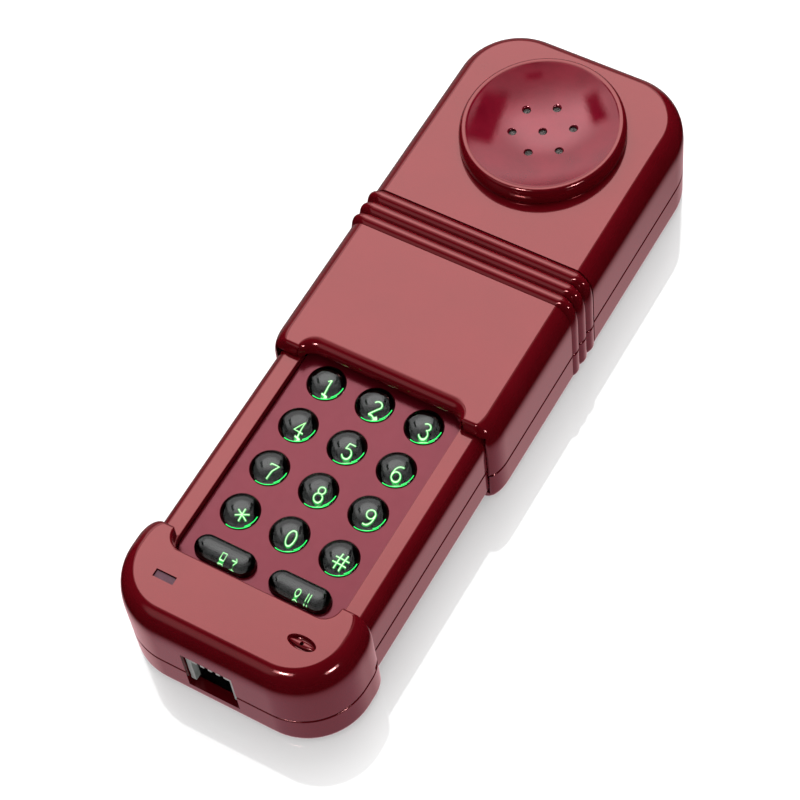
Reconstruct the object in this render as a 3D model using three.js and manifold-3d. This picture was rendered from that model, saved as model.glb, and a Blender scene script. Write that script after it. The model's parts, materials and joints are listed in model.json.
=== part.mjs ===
// Compact slide telephone. A keypad body with a flush end cap slides inside an outer sleeve
// that carries the raised ear dish. Pulling the two apart answers, pushing them together hangs up.
// Millimetres. X is across the phone, +Y points from the end cap to the ear end, +Z out of the
// front face. The origin is under the middle of the opened phone, on the surface that it lies on.

import {
  BoxGeometry, BufferGeometry, CatmullRomCurve3, CylinderGeometry, ExtrudeGeometry, Group,
  LatheGeometry, Mesh, MeshStandardMaterial, Path, Shape, Vector2, Vector3, BufferAttribute,
} from 'three';
import { mergeVertices } from 'three/addons/utils/BufferGeometryUtils.js';
import Module from 'manifold-3d';

const wasm = await Module();
wasm.setup();

// ---------------------------------------------------------------- driving dimensions

const LENGTH = 184;                 // opened, end to end
const WIDTH = 60;                   // sleeve and end cap
const THICKNESS = 30;               // sleeve and end cap, without the ear dish
const FRONT_EDGE = 4.2;             // radius round the front face of sleeve and cap
const REAR_EDGE = 3;                // radius round the back
const SPLIT_Z = 11;                 // where front and rear shells meet
const SEAM = 0.3;                   // open joint line between two shells
const GAP = 0.3;                    // between pieces that touch
const SLEEVE_WALL = 1.8;
const BODY_WALL = 2;
const KEY_PITCH = { x: 13, y: 12.7 };

const CAP_END = -LENGTH / 2;
const EAR_END = LENGTH / 2;
const MOUTH_Y = -16.7;              // open end of the sleeve
const SHOULDER_Y = -69.1;           // face of the cap that the sleeve closes against

const CAP_CORNER = 15.5;            // corners of the cap, seen from the front
const EAR_CORNER = 16.5;            // corners of the ear end
const BOAT_TAIL = { x: 1.6, y: 5.4 }; // side walls draw in towards the mouth and the shoulder

const BODY_HALF = 27.7;             // keypad body
const BODY_BOTTOM = 2.7;
const BODY_SPLIT_Z = 12.8;
const RIM_Z = 26.3;                 // raised rim round the keypad
const RIM_EDGE = 2.8;
const REAR_BODY_EDGE = 2.4;
const BODY_INNER_END = -8;          // end of the full-height body, inside the sleeve
const PANEL_Z = 24.4;               // front face of the keypad plate
const PANEL_THICKNESS = 1.2;
const PANEL_HALF = 21.2;
const FLOOR_TOP = 23;               // floor of the keypad recess
const FLOOR_BOTTOM = 21.2;
const NOTCH_HALF = 21.6;            // notch in the cap, and arch in the sleeve
const NOTCH_Y = -73.8;
const NOTCH_CORNER = 4.2;

const TAIL = { half: 27.2, end: 28, top: 15, corner: 8 }; // low tail that guides the sleeve

const ARCH = { y: -14, half: 21.6, corner: 4, lip: 3.1, underside: 26.9 };
const MOUTH_EDGE = 1.5;
const MOUTH_WALL = 5;               // how far the narrower mouth reaches into the sleeve

const RIBS = { count: 3, pitch: 3.73, middle: 26.4, proud: 0.45 };

const DISH = {
  y: 63.4, base: 20, rim: 18.3, lip: 0.9, rimZ: 34.6, lipDrop: 0.15, roll: 2.6, centreZ: 31.2,
  stretch: 1.04, steps: 32,
};
const SOUND_HOLES = { radius: 1, circle: 7.3, around: 6 };
const RECEIVER_POCKET = { radius: 16.4, top: 29.4 };

const FIRST_ROW_Y = -18.8;
const ROUND_KEY = { radius: 4.55, top: 26.3 };
const OVAL_KEY = { x: 9.75, y: -68.4, length: 15.2, width: 5.8, top: 27 };
const KEY_FLANGE = { extra: 0.8, top: 20.9, bottom: 19.7 };
const KEY_HOLE_GAP = 0.25;

const JACK = {
  x: -1.2, half: 6.7, bottom: 4.9, top: 19.7, recess: 1, depth: 18,
  wall: 1.3, floor: 1.7, roof: 3.6, port: 13,
};
const CONTACT_PITCH = 2.04;
const CONTACTS = [-1.5, -0.5, 0.5, 1.5].map((i) => JACK.x + i * CONTACT_PITCH);
const WINDOW = { x: -17, y: -80.9, width: 5.3, height: 2, depth: 0.5 };
const MICROPHONE = { x: 18.2, y: -80.7, length: 7, width: 3.4, depth: 0.9, hole: 0.5 };

const BOARD = { bottom: 15.5, top: 17.1, half: 24.3, yLow: -72.4, yHigh: -12 };
const KEYMAT = { half: 20, yLow: -71.8, yHigh: -13.6, sheet: 0.5, pad: 0.8, padRadius: 3 };
const SELECTOR = { x: 15, y: -81, length: 9, width: 4.5, travel: 2 };
const RINGER = { x: 0, y: -46, radius: 13.5 };
const LEVER = { x: 20, pivotY: -2, pivotZ: 8.2, noseY: 8, nose: 2.1 };

const CAP_SCREW = { x: 23, y: -74.2, seat: 5, tip: 16.5 };
const TAIL_SCREW = { x: 20, y: 21, seat: 6, tip: 13.6 };
const SLEEVE_SCREW = { x: 12, y: 84.4, seat: 5, tip: 18 };
const RETAINER_SCREW = { x: 20.5, y: DISH.y, seat: 17.6, tip: 25 };

const CORNER_STEPS = 5;             // flats in a quarter corner
const BEVEL_STEPS = 3;
const ROUND_STEPS = 20;
const SMALL_STEPS = 12;
const KEY_STEPS = 16;
const FAR = 100;                    // reach of a cutter that goes right past the object

// ---------------------------------------------------------------- materials

const finish = (color, roughness, metalness = 0) => () =>
  new MeshStandardMaterial({ color, roughness, metalness });

const burgundy = finish(0x700a1c, 0.2);
const burgundyPanel = finish(0x6a1526, 0.35);
const smokedKey = finish(0x101211, 0.1);
const greyJack = finish(0x9aa09c, 0.45);
const silicone = finish(0xd8d8d2, 0.8);
const greenBoard = finish(0x1d5c33, 0.5);
const blackPart = finish(0x161616, 0.5);
const steel = finish(0xb9bcc0, 0.35, 1);
const brass = finish(0xc9a44a, 0.3, 1);
const greenLens = finish(0x47e06a, 0.25);
const smokedLens = finish(0x5b464e, 0.15);
const foam = finish(0x2a2a2c, 0.95);

// ---------------------------------------------------------------- solids from three.js shapes

function solid(geometry) {
  const bare = geometry.clone();
  bare.deleteAttribute('normal');
  bare.deleteAttribute('uv');
  const merged = mergeVertices(bare, 1e-4);
  const mesh = new wasm.Mesh({
    numProp: 3,
    vertProperties: new Float32Array(merged.attributes.position.array),
    triVerts: new Uint32Array(merged.index.array),
  });
  return new wasm.Manifold(mesh);
}

function toGeometry(manifold) {
  const mesh = manifold.getMesh();
  const geometry = new BufferGeometry();
  geometry.setAttribute('position', new BufferAttribute(new Float32Array(mesh.vertProperties), 3));
  geometry.setIndex(new BufferAttribute(new Uint32Array(mesh.triVerts), 1));
  geometry.computeVertexNormals();
  return geometry;
}

const carve = (base, cutters) => cutters.reduce((left, cutter) => left.subtract(cutter), base);
const join = (base, extras) => extras.reduce((sum, extra) => sum.add(extra), base);

// A plate outline seen from the front, with its own corner radii at the low and the high Y end.
function plan(half, yLow, yHigh, low, high) {
  const shape = new Shape();
  shape.moveTo(-half + low.x, yLow);
  shape.lineTo(half - low.x, yLow);
  if (low.x) shape.absellipse(half - low.x, yLow + low.y, low.x, low.y, -Math.PI / 2, 0);
  shape.lineTo(half, yHigh - high.y);
  if (high.x) shape.absellipse(half - high.x, yHigh - high.y, high.x, high.y, 0, Math.PI / 2);
  shape.lineTo(-half + high.x, yHigh);
  if (high.x) shape.absellipse(-half + high.x, yHigh - high.y, high.x, high.y, Math.PI / 2, Math.PI);
  shape.lineTo(-half, yLow + low.y);
  if (low.x) shape.absellipse(-half + low.x, yLow + low.y, low.x, low.y, Math.PI, Math.PI * 1.5);
  return shape;
}

const round = (radius) => ({ x: radius, y: radius });
const SQUARE = round(0);

function block(x0, x1, y0, y1, z0, z1) {
  const geometry = new BoxGeometry(x1 - x0, y1 - y0, z1 - z0);
  geometry.translate((x0 + x1) / 2, (y0 + y1) / 2, (z0 + z1) / 2);
  return solid(geometry);
}

// A plate between two heights. The upper or the lower edge may be rounded.
function plate(shape, zLow, zHigh, { upper = 0, lower = 0 } = {}) {
  const edge = upper || lower;
  if (!edge) {
    const flat = new ExtrudeGeometry(shape, {
      depth: zHigh - zLow, bevelEnabled: false, curveSegments: CORNER_STEPS,
    });
    flat.translate(0, 0, zLow);
    return solid(flat);
  }
  // The bevel rounds both faces, so the plate is made longer on the square side and cut back.
  const geometry = new ExtrudeGeometry(shape, {
    depth: zHigh - zLow - edge + 1, curveSegments: CORNER_STEPS,
    bevelThickness: edge, bevelSize: edge, bevelOffset: -edge, bevelSegments: BEVEL_STEPS,
  });
  geometry.translate(0, 0, upper ? zLow - 1 : zLow + edge);
  const cut = upper
    ? block(-FAR, FAR, -FAR, FAR, zLow - FAR, zLow)
    : block(-FAR, FAR, -FAR, FAR, zHigh, zHigh + FAR);
  return solid(geometry).subtract(cut);
}

// A solid of revolution about Z, from a profile of [radius, z] pairs listed from bottom to top.
// The stretch makes it oval, longer along Y.
function turned(profile, x = 0, y = 0, steps = ROUND_STEPS, stretch = 1) {
  const points = profile.map(([radius, z]) => new Vector2(radius, z));
  const geometry = new LatheGeometry(points, steps);
  geometry.rotateX(Math.PI / 2);
  geometry.scale(1, stretch, 1);
  geometry.translate(x, y, 0);
  return solid(geometry);
}

function pin(x, y, z0, z1, radius, steps = SMALL_STEPS) {
  const geometry = new CylinderGeometry(radius, radius, z1 - z0, steps);
  geometry.rotateX(Math.PI / 2);
  geometry.translate(x, y, (z0 + z1) / 2);
  return solid(geometry);
}

// Points of a quarter ellipse from (r0, z0) to (r1, z1), leaving the start vertically.
function quarter(r0, z0, r1, z1, steps) {
  return Array.from({ length: steps + 1 }, (_, i) => {
    const turn = (i / steps) * Math.PI / 2;
    return [r1 + (r0 - r1) * Math.cos(turn), z0 + (z1 - z0) * Math.sin(turn)];
  });
}

const mirrored = (make) => [-1, 1].map(make);

// ---------------------------------------------------------------- sleeve

// A prism standing in the mouth, wider towards the front, that leaves a rounded lip behind.
function lipCutter(half, y, corner, lip) {
  const rise = THICKNESS - ARCH.underside;
  const steps = 4;
  const shape = plan(half, MOUTH_Y - FAR, y, SQUARE, round(corner));
  const geometry = new ExtrudeGeometry(shape, {
    depth: rise * 2, steps: steps * 2, bevelEnabled: false, curveSegments: CORNER_STEPS,
  });
  const position = geometry.attributes.position;
  const yStart = MOUTH_Y - FAR;
  for (let i = 0; i < position.count; i += 1) {
    const climb = Math.min(position.getZ(i) / rise, 1);
    const out = 1 - Math.sqrt(1 - climb * climb);
    const yScale = 1 + (out * lip) / (y - yStart);
    position.setY(i, yStart + (position.getY(i) - yStart) * yScale);
    const foot = climb === 0 ? -0.5 : 0;
    position.setZ(i, position.getZ(i) + ARCH.underside + foot);
  }
  return solid(geometry);
}

// Cross-section of the sleeve, X across and Y as height.
const sleeveSection = () => plan(WIDTH / 2, 0, THICKNESS, round(REAR_EDGE), round(FRONT_EDGE));

// A raised band round the top and sides of the sleeve. It dies away into the flat underside.
function rib(y) {
  const half = RIBS.pitch / 2;
  const swell = [[-1, -0.5], [-0.8, 0.3], [-0.35, 1], [0.35, 1], [0.8, 0.3], [1, -0.5]];
  const geometry = new ExtrudeGeometry(sleeveSection(), {
    depth: 1, steps: swell.length - 1, bevelEnabled: false, curveSegments: 3,
  });
  const position = geometry.attributes.position;
  for (let i = 0; i < position.count; i += 1) {
    const level = Math.round(position.getZ(i) * (swell.length - 1));
    const [along, height] = swell[level];
    const growth = 1 + (height * RIBS.proud) / (WIDTH / 2);
    const lift = 1 + (height * RIBS.proud) / THICKNESS;
    position.setXYZ(i, position.getX(i) * growth, y - along * half, position.getY(i) * lift);
  }
  return solid(geometry);
}

const ribs = () => Array.from({ length: RIBS.count }, (_, i) =>
  rib(RIBS.middle + (i - (RIBS.count - 1) / 2) * RIBS.pitch));

const above = (z) => block(-FAR, FAR, -FAR, FAR, z, z + FAR);
const below = (z) => block(-FAR, FAR, -FAR, FAR, z - FAR, z);

// The plan runs on past the mouth, and the boat tail cuts it back to length.
const sleevePlan = () =>
  plan(WIDTH / 2, MOUTH_Y - 10, EAR_END, SQUARE, round(EAR_CORNER));

const sleeveBoatTail = () =>
  plate(plan(WIDTH / 2 + 1, MOUTH_Y, EAR_END + 1, { x: BOAT_TAIL.x + 1, y: BOAT_TAIL.y }, SQUARE),
    -1, THICKNESS + 9);

const sleeveHollow = () =>
  plan(WIDTH / 2 - SLEEVE_WALL, MOUTH_Y + MOUTH_WALL, EAR_END - SLEEVE_WALL, SQUARE,
    round(EAR_CORNER - SLEEVE_WALL));

const mouthHole = (zLow, zHigh) =>
  block(-BODY_HALF - GAP, BODY_HALF + GAP, MOUTH_Y - 1, MOUTH_Y + MOUTH_WALL + 1, zLow, zHigh);

function earDish() {
  const { y, base, rim, lip, rimZ, lipDrop, roll, centreZ, stretch, steps } = DISH;
  const foot = THICKNESS - 1;
  const bowlSteps = 6;
  const bowl = Array.from({ length: bowlSteps + 1 }, (_, i) => {
    const part = 1 - i / bowlSteps;
    return [rim * part, centreZ + (rimZ - lipDrop - centreZ) * part * part];
  });
  const profile = [
    [0, foot],
    [base, foot],
    ...quarter(base, rimZ - roll, rim + lip, rimZ, 5),
    ...bowl,
  ];
  return turned(profile, 0, y, steps, stretch);
}

// One hole in the middle of the bowl, and a ring of others round it.
function soundHoles() {
  const { radius, circle, around } = SOUND_HOLES;
  const hole = (x, y) => pin(x, DISH.y + y, THICKNESS - 3, THICKNESS + 5, radius, 10);
  const ring = Array.from({ length: around }, (_, i) => {
    const angle = Math.PI / 6 + (i * 2 * Math.PI) / around;
    return hole(circle * Math.cos(angle), circle * Math.sin(angle));
  });
  return [hole(0, 0), ...ring];
}

function sleeveFrontShell() {
  const ceiling = THICKNESS - SLEEVE_WALL;
  const shell = plate(sleevePlan(), SPLIT_Z + SEAM / 2, THICKNESS, { upper: FRONT_EDGE });
  const hollow = plate(sleeveHollow(), SPLIT_Z - 1, ceiling, { upper: FRONT_EDGE - SLEEVE_WALL });
  const bosses = [
    ...mirrored((side) => pin(side * SLEEVE_SCREW.x, SLEEVE_SCREW.y, SPLIT_Z + SEAM / 2,
      ceiling + 0.5, 3)),
    ...mirrored((side) => pin(side * RETAINER_SCREW.x, RETAINER_SCREW.y,
      RETAINER_SCREW.seat + 2, ceiling + 0.5, 2.6)),
  ];
  const pilots = [
    ...mirrored((side) => pin(side * SLEEVE_SCREW.x, SLEEVE_SCREW.y, SPLIT_Z - 1,
      SLEEVE_SCREW.tip + 1, 1.4)),
    ...mirrored((side) => pin(side * RETAINER_SCREW.x, RETAINER_SCREW.y, RETAINER_SCREW.seat,
      RETAINER_SCREW.tip + 0.6, 1.3)),
  ];
  const bands = ribs().map((band) => band.intersect(above(SPLIT_Z + SEAM / 2)));
  const outer = join(shell.intersect(sleeveBoatTail()), bands);
  return carve(join(outer.subtract(hollow), [earDish(), ...bosses]), [
    mouthHole(SPLIT_Z - 1, ARCH.underside),
    lipCutter(ARCH.half, ARCH.y, ARCH.corner, ARCH.lip),
    lipCutter(WIDTH, MOUTH_Y, 0, MOUTH_EDGE),
    pin(0, DISH.y, THICKNESS - 3, RECEIVER_POCKET.top, RECEIVER_POCKET.radius, ROUND_STEPS),
    ...soundHoles(),
    ...pilots,
  ]);
}

function sleeveRearShell() {
  const top = SPLIT_Z - SEAM / 2;
  const shell = plate(sleevePlan(), 0, top, { lower: REAR_EDGE });
  const hollow = plate(sleeveHollow(), SLEEVE_WALL, SPLIT_Z + 1, { lower: REAR_EDGE - 1 });
  const posts = mirrored((side) => pin(side * SLEEVE_SCREW.x, SLEEVE_SCREW.y, 1, top, 3.6));
  const closedNoseY = LEVER.noseY + slideTravel();
  const ramp = block(LEVER.x - 2, LEVER.x + 2, closedNoseY + 1.1, closedNoseY + 6,
    1, SLEEVE_WALL + 0.6);
  const bores = mirrored((side) => pin(side * SLEEVE_SCREW.x, SLEEVE_SCREW.y, -1,
    SLEEVE_SCREW.seat, 2.7));
  const holes = mirrored((side) => pin(side * SLEEVE_SCREW.x, SLEEVE_SCREW.y, -1, top + 1, 1.4));
  const bands = ribs().map((band) => band.intersect(below(top)).intersect(above(0)));
  const outer = join(shell.intersect(sleeveBoatTail()), bands);
  return carve(join(outer.subtract(hollow), [...posts, ramp]), [
    mouthHole(BODY_BOTTOM - 0.5, SPLIT_Z + 1),
    ...bores,
    ...holes,
  ]);
}

// ---------------------------------------------------------------- receiver

function earGasket() {
  return turned([[9, 28.2], [15, 28.2], [15, 29.1], [9, 29.1], [9, 28.2]], 0, DISH.y);
}

function receiverCapsule() {
  return turned([
    [0, 19.8], [6, 19.8], [6, 19.2], [11, 19.2], [11, 20.6], [15, 20.6], [15, 26.6],
    [14.2, 27.9], [4, 27.9], [3.4, 27.3], [0, 27.3],
  ], 0, DISH.y);
}

function receiverRetainer() {
  const low = RETAINER_SCREW.seat;
  const ring = pin(0, DISH.y, low, low + 1.4, 17, ROUND_STEPS);
  const bar = block(-24, 24, DISH.y - 3.2, DISH.y + 3.2, low, low + 1.4);
  const wall = turned([[15.4, low + 1], [17, low + 1], [17, 26], [15.4, 26], [15.4, low + 1]],
    0, DISH.y);
  const holes = mirrored((side) => pin(side * RETAINER_SCREW.x, DISH.y, low - 1, low + 2, 1.4));
  return carve(join(ring, [bar, wall]), [
    pin(0, DISH.y, low - 1, low + 3, 11.6, ROUND_STEPS),
    ...holes,
  ]);
}

// ---------------------------------------------------------------- keypad body

const capPlan = () => plan(WIDTH / 2, CAP_END, SHOULDER_Y + 10, round(CAP_CORNER), SQUARE);

const capBoatTail = () =>
  plate(plan(WIDTH / 2 + 1, CAP_END - 1, SHOULDER_Y, SQUARE,
    { x: BOAT_TAIL.x + 1, y: BOAT_TAIL.y }), -1, THICKNESS + 1);

const tailPlan = (inset = 0) =>
  plan(TAIL.half - inset, BODY_INNER_END - 4, TAIL.end - inset, SQUARE,
    round(TAIL.corner - inset));

function jackOpening(zLow, zHigh) {
  return block(JACK.x - JACK.half, JACK.x + JACK.half, CAP_END - 1, CAP_END + JACK.recess + 3,
    zLow, zHigh);
}

function stadium(x, y, length, width) {
  const straight = length / 2 - width / 2;
  const shape = new Shape();
  shape.absarc(x + straight, y, width / 2, -Math.PI / 2, Math.PI / 2);
  shape.absarc(x - straight, y, width / 2, Math.PI / 2, Math.PI * 1.5);
  return shape;
}

const keyColumns = [-KEY_PITCH.x, 0, KEY_PITCH.x];
const keyRows = [0, 1, 2, 3].map((row) => FIRST_ROW_Y - row * KEY_PITCH.y);

function keyHoles(zLow, zHigh, gap) {
  const roundHoles = keyRows.flatMap((y) => keyColumns.map((x) =>
    pin(x, y, zLow, zHigh, ROUND_KEY.radius + gap, KEY_STEPS)));
  const ovalHoles = mirrored((side) => plate(
    stadium(side * OVAL_KEY.x, OVAL_KEY.y, OVAL_KEY.length + gap * 2, OVAL_KEY.width + gap * 2),
    zLow, zHigh));
  return [...roundHoles, ...ovalHoles];
}

function bodyFrontShell() {
  const cap = plate(capPlan(), SPLIT_Z + SEAM / 2, THICKNESS, { upper: FRONT_EDGE });
  const body = plate(plan(BODY_HALF, SHOULDER_Y - 6, BODY_INNER_END, SQUARE, SQUARE),
    BODY_SPLIT_Z + SEAM / 2, RIM_Z, { upper: RIM_EDGE });
  const tail = plate(tailPlan(), BODY_SPLIT_Z + SEAM / 2, TAIL.top, { upper: 1 });
  const shoulderTrim = block(-FAR, FAR, SHOULDER_Y - 3, SHOULDER_Y + 3, SPLIT_Z - 3,
    BODY_SPLIT_Z + SEAM / 2);
  const capHollow = plate(
    plan(WIDTH / 2 - BODY_WALL, CAP_END + BODY_WALL, FAR, round(CAP_CORNER - BODY_WALL), SQUARE),
    SPLIT_Z - 1, THICKNESS - BODY_WALL, { upper: FRONT_EDGE - BODY_WALL })
    .subtract(block(-FAR, FAR, NOTCH_Y - 2.2, FAR + 1, 0, FAR));
  const bodyHollow = block(-BODY_HALF + BODY_WALL, BODY_HALF - BODY_WALL, CAP_END + 8,
    BODY_INNER_END - BODY_WALL, SPLIT_Z - 1, FLOOR_BOTTOM);
  const tailHollow = plate(tailPlan(BODY_WALL), SPLIT_Z, TAIL.top - 1.8);
  const recess = plate(plan(PANEL_HALF, NOTCH_Y, BODY_INNER_END - 3, round(NOTCH_CORNER), SQUARE),
    FLOOR_TOP, THICKNESS + 1);
  const notch = plate(plan(NOTCH_HALF, NOTCH_Y, SHOULDER_Y + 1, round(NOTCH_CORNER), SQUARE),
    RIM_Z, THICKNESS + 1);
  const capBosses = mirrored((side) => pin(side * CAP_SCREW.x, CAP_SCREW.y,
    SPLIT_Z + SEAM / 2, FLOOR_BOTTOM + 1, 3.2));
  const tailBosses = mirrored((side) => pin(side * TAIL_SCREW.x, TAIL_SCREW.y, 9.4,
    TAIL.top - 1, 2.6));
  const outer = join(cap.intersect(capBoatTail()), [body, tail]);
  const hollowed = carve(outer, [capHollow, bodyHollow, tailHollow]);
  return carve(join(hollowed.subtract(shoulderTrim), [...capBosses, ...tailBosses]), [
    recess,
    notch,
    ...keyHoles(FLOOR_BOTTOM - 1, FLOOR_TOP + 1, KEY_HOLE_GAP + 0.1),
    jackOpening(SPLIT_Z - 1, JACK.top),
    indicatorOpening(),
    ...microphoneOpening(),
    ...mirrored((side) => pin(side * CAP_SCREW.x, CAP_SCREW.y, SPLIT_Z - 1,
      CAP_SCREW.tip + 1, 1.4)),
    ...mirrored((side) => pin(side * TAIL_SCREW.x, TAIL_SCREW.y, 8, TAIL_SCREW.tip + 0.4, 1.3)),
  ]);
}

function indicatorOpening() {
  const { x, y, width, height } = WINDOW;
  return block(x - width / 2, x + width / 2, y - height / 2, y + height / 2,
    THICKNESS - BODY_WALL - 2, THICKNESS + 1);
}

function microphoneOpening() {
  const { x, y, length, width, depth, hole } = MICROPHONE;
  return [
    plate(stadium(x, y, length, width), THICKNESS - depth, THICKNESS + 1),
    pin(x, y, THICKNESS - BODY_WALL - 2, THICKNESS, hole, 10),
  ];
}

function bodyRearShell() {
  const capTop = SPLIT_Z - SEAM / 2;
  const bodyTop = BODY_SPLIT_Z - SEAM / 2;
  const cap = plate(capPlan(), 0, capTop, { lower: REAR_EDGE });
  const body = plate(plan(BODY_HALF, SHOULDER_Y - 6, 0, SQUARE, SQUARE), BODY_BOTTOM, bodyTop,
    { lower: REAR_BODY_EDGE });
  const tail = plate(tailPlan(), BODY_BOTTOM, bodyTop, { lower: REAR_BODY_EDGE });
  const capTrim = block(-FAR, FAR, CAP_END - 1, SHOULDER_Y - 3, capTop, FAR);
  const capHollow = plate(
    plan(WIDTH / 2 - BODY_WALL, CAP_END + BODY_WALL, SHOULDER_Y - BODY_WALL,
      round(CAP_CORNER - BODY_WALL), SQUARE),
    BODY_WALL, FAR, { lower: 1 });
  const bodyHollow = block(-BODY_HALF + BODY_WALL, BODY_HALF - BODY_WALL, SHOULDER_Y - 8,
    -4, BODY_BOTTOM + BODY_WALL, FAR);
  const tailHollow = plate(tailPlan(BODY_WALL), BODY_BOTTOM + BODY_WALL, FAR);
  const outer = join(cap.intersect(capBoatTail()), [body, tail]);
  const hollowed = carve(outer, [capTrim, capHollow, bodyHollow, tailHollow]);
  const capPosts = mirrored((side) => pin(side * CAP_SCREW.x, CAP_SCREW.y, 1, capTop, 3.8));
  const tailPosts = mirrored((side) => pin(side * TAIL_SCREW.x, TAIL_SCREW.y, BODY_BOTTOM + 1,
    9.1, 3.4));
  const shelf = block(JACK.x - JACK.half - 1.5, JACK.x + JACK.half + 1.5, CAP_END + 1,
    CAP_END + 6, 1, JACK.bottom);
  return carve(join(hollowed, [...capPosts, ...tailPosts, shelf]), [
    jackOpening(JACK.bottom, SPLIT_Z + 1),
    ...ringerSlots(),
    selectorSlot(),
    leverSlot(),
    ...detentPockets(),
    ...mirrored((side) => pin(side * CAP_SCREW.x, CAP_SCREW.y, -1, CAP_SCREW.seat, 2.7)),
    ...mirrored((side) => pin(side * CAP_SCREW.x, CAP_SCREW.y, -1, capTop + 1, 1.4)),
    ...mirrored((side) => pin(side * TAIL_SCREW.x, TAIL_SCREW.y, 1, TAIL_SCREW.seat, 2.5)),
    ...mirrored((side) => pin(side * TAIL_SCREW.x, TAIL_SCREW.y, 1, 12, 1.3)),
  ]);
}

function ringerSlots() {
  const spacing = 4;
  return [-1, 0, 1].map((i) => {
    const y = RINGER.y + i * spacing;
    return plate(stadium(0, y, 12 - Math.abs(i) * 3, 1.4), BODY_BOTTOM - 1,
      BODY_BOTTOM + BODY_WALL + 1);
  });
}

function selectorSlot() {
  const { x, y, travel } = SELECTOR;
  const half = 1.5 + travel / 2 + GAP;
  return block(x - half, x + half, y - 1.5, y + 1.5, -1, BODY_WALL + 1);
}

function leverSlot() {
  return block(LEVER.x - 1.6, LEVER.x + 1.6, LEVER.noseY - 2, LEVER.noseY + 2,
    BODY_BOTTOM - 1, BODY_BOTTOM + BODY_WALL + 1);
}

const DETENT = { y: 4, length: 16, height: 5, z: 7.5, depth: 0.8 };

function detentPockets() {
  const { y, length, height, z, depth } = DETENT;
  return mirrored((side) => {
    const outer = side * (BODY_HALF + 1);
    const inner = side * (TAIL.half - depth);
    return block(Math.min(outer, inner), Math.max(outer, inner), y - length / 2, y + length / 2,
      z - height / 2, z + height / 2);
  });
}

// A bowed leaf spring lying in a pocket of the tail's side wall.
function detentSpring(side) {
  const { y, length, height, z, depth } = DETENT;
  const thickness = 0.3;
  const bow = 1.05;
  const reach = length / 2 - GAP;
  const inner = TAIL.half - depth + 0.15;
  const steps = 8;
  const shape = new Shape();
  const edge = (offset) => Array.from({ length: steps + 1 }, (_, i) => {
    const along = -reach + (2 * reach * i) / steps;
    const rise = bow * (1 + Math.cos((Math.PI * along) / reach)) / 2;
    return new Vector2(inner + offset + rise, along);
  });
  shape.setFromPoints([...edge(thickness), ...edge(0).reverse()]);
  const geometry = new ExtrudeGeometry(shape, { depth: height - 2 * GAP, bevelEnabled: false });
  geometry.translate(0, y, z - height / 2 + GAP);
  if (side < 0) geometry.rotateZ(Math.PI).translate(0, 2 * y, 0);
  return solid(geometry);
}

function keypadFaceplate() {
  const shape = plan(PANEL_HALF - 0.15, NOTCH_Y + 0.3, BODY_INNER_END - 3.3,
    round(NOTCH_CORNER), SQUARE);
  const base = plate(shape, PANEL_Z - PANEL_THICKNESS, PANEL_Z);
  return carve(base, keyHoles(FLOOR_TOP - 1, RIM_Z, KEY_HOLE_GAP));
}

// ---------------------------------------------------------------- keys

function roundKey() {
  const { radius, top } = ROUND_KEY;
  const flange = radius + KEY_FLANGE.extra;
  return turned([
    [0, KEY_FLANGE.bottom],
    [flange, KEY_FLANGE.bottom],
    [flange, KEY_FLANGE.top],
    [radius, KEY_FLANGE.top],
    ...quarter(radius, PANEL_Z + 0.3, radius - 1.5, top - 0.45, 3),
    [0, top],
  ], 0, 0, KEY_STEPS);
}

function ovalKey() {
  const { length, width, top } = OVAL_KEY;
  const { extra, bottom } = KEY_FLANGE;
  const edge = 1.9;
  const geometry = new ExtrudeGeometry(stadium(0, 0, length, width), {
    depth: top - bottom - edge + 3, curveSegments: 8,
    bevelThickness: edge, bevelSize: edge, bevelOffset: -edge, bevelSegments: 4,
  });
  geometry.translate(0, 0, bottom - 3);
  const cap = solid(geometry).subtract(block(-FAR, FAR, -FAR, FAR, bottom - FAR, bottom));
  const flange = plate(stadium(0, 0, length + extra, width + extra), bottom, KEY_FLANGE.top);
  return cap.add(flange);
}

// A thin sheet with a low pad under each key.
function keymat() {
  const { half, yLow, yHigh, sheet, pad, padRadius } = KEYMAT;
  const low = BOARD.top + GAP;
  const base = block(-half, half, yLow, yHigh, low, low + sheet);
  const pads = [
    ...keyRows.flatMap((y) => keyColumns.map((x) => pin(x, y, low, low + pad, padRadius, 8))),
    ...mirrored((side) => plate(
      stadium(side * OVAL_KEY.x, OVAL_KEY.y, 3 * padRadius, padRadius), low, low + pad)),
  ];
  return join(base, pads);
}

// ---------------------------------------------------------------- electrics

function mainBoard() {
  const { bottom, top, half, yLow, yHigh } = BOARD;
  const board = block(-half, half, yLow, yHigh, bottom, top);
  const clearBosses = mirrored((side) => pin(side * CAP_SCREW.x, CAP_SCREW.y, bottom - 1,
    top + 1, 3.6));
  return carve(board, clearBosses);
}

function lineJack() {
  const { x, recess, depth, wall, floor, roof, port } = JACK;
  const bottom = JACK.bottom + floor;
  const top = JACK.top - GAP;
  const front = CAP_END + recess;
  const half = JACK.half - GAP;
  const housing = block(x - half, x + half, front, front + depth, bottom, top);
  const opening = block(x - half + wall, x + half - wall, front - 1, front + port,
    bottom - 1, top - roof);
  const grooves = CONTACTS.map((middle) =>
    block(middle - 0.5, middle + 0.5, front - 1, front + 11, top - 4, top - 2.2));
  return carve(housing, [opening, ...grooves]);
}

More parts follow.
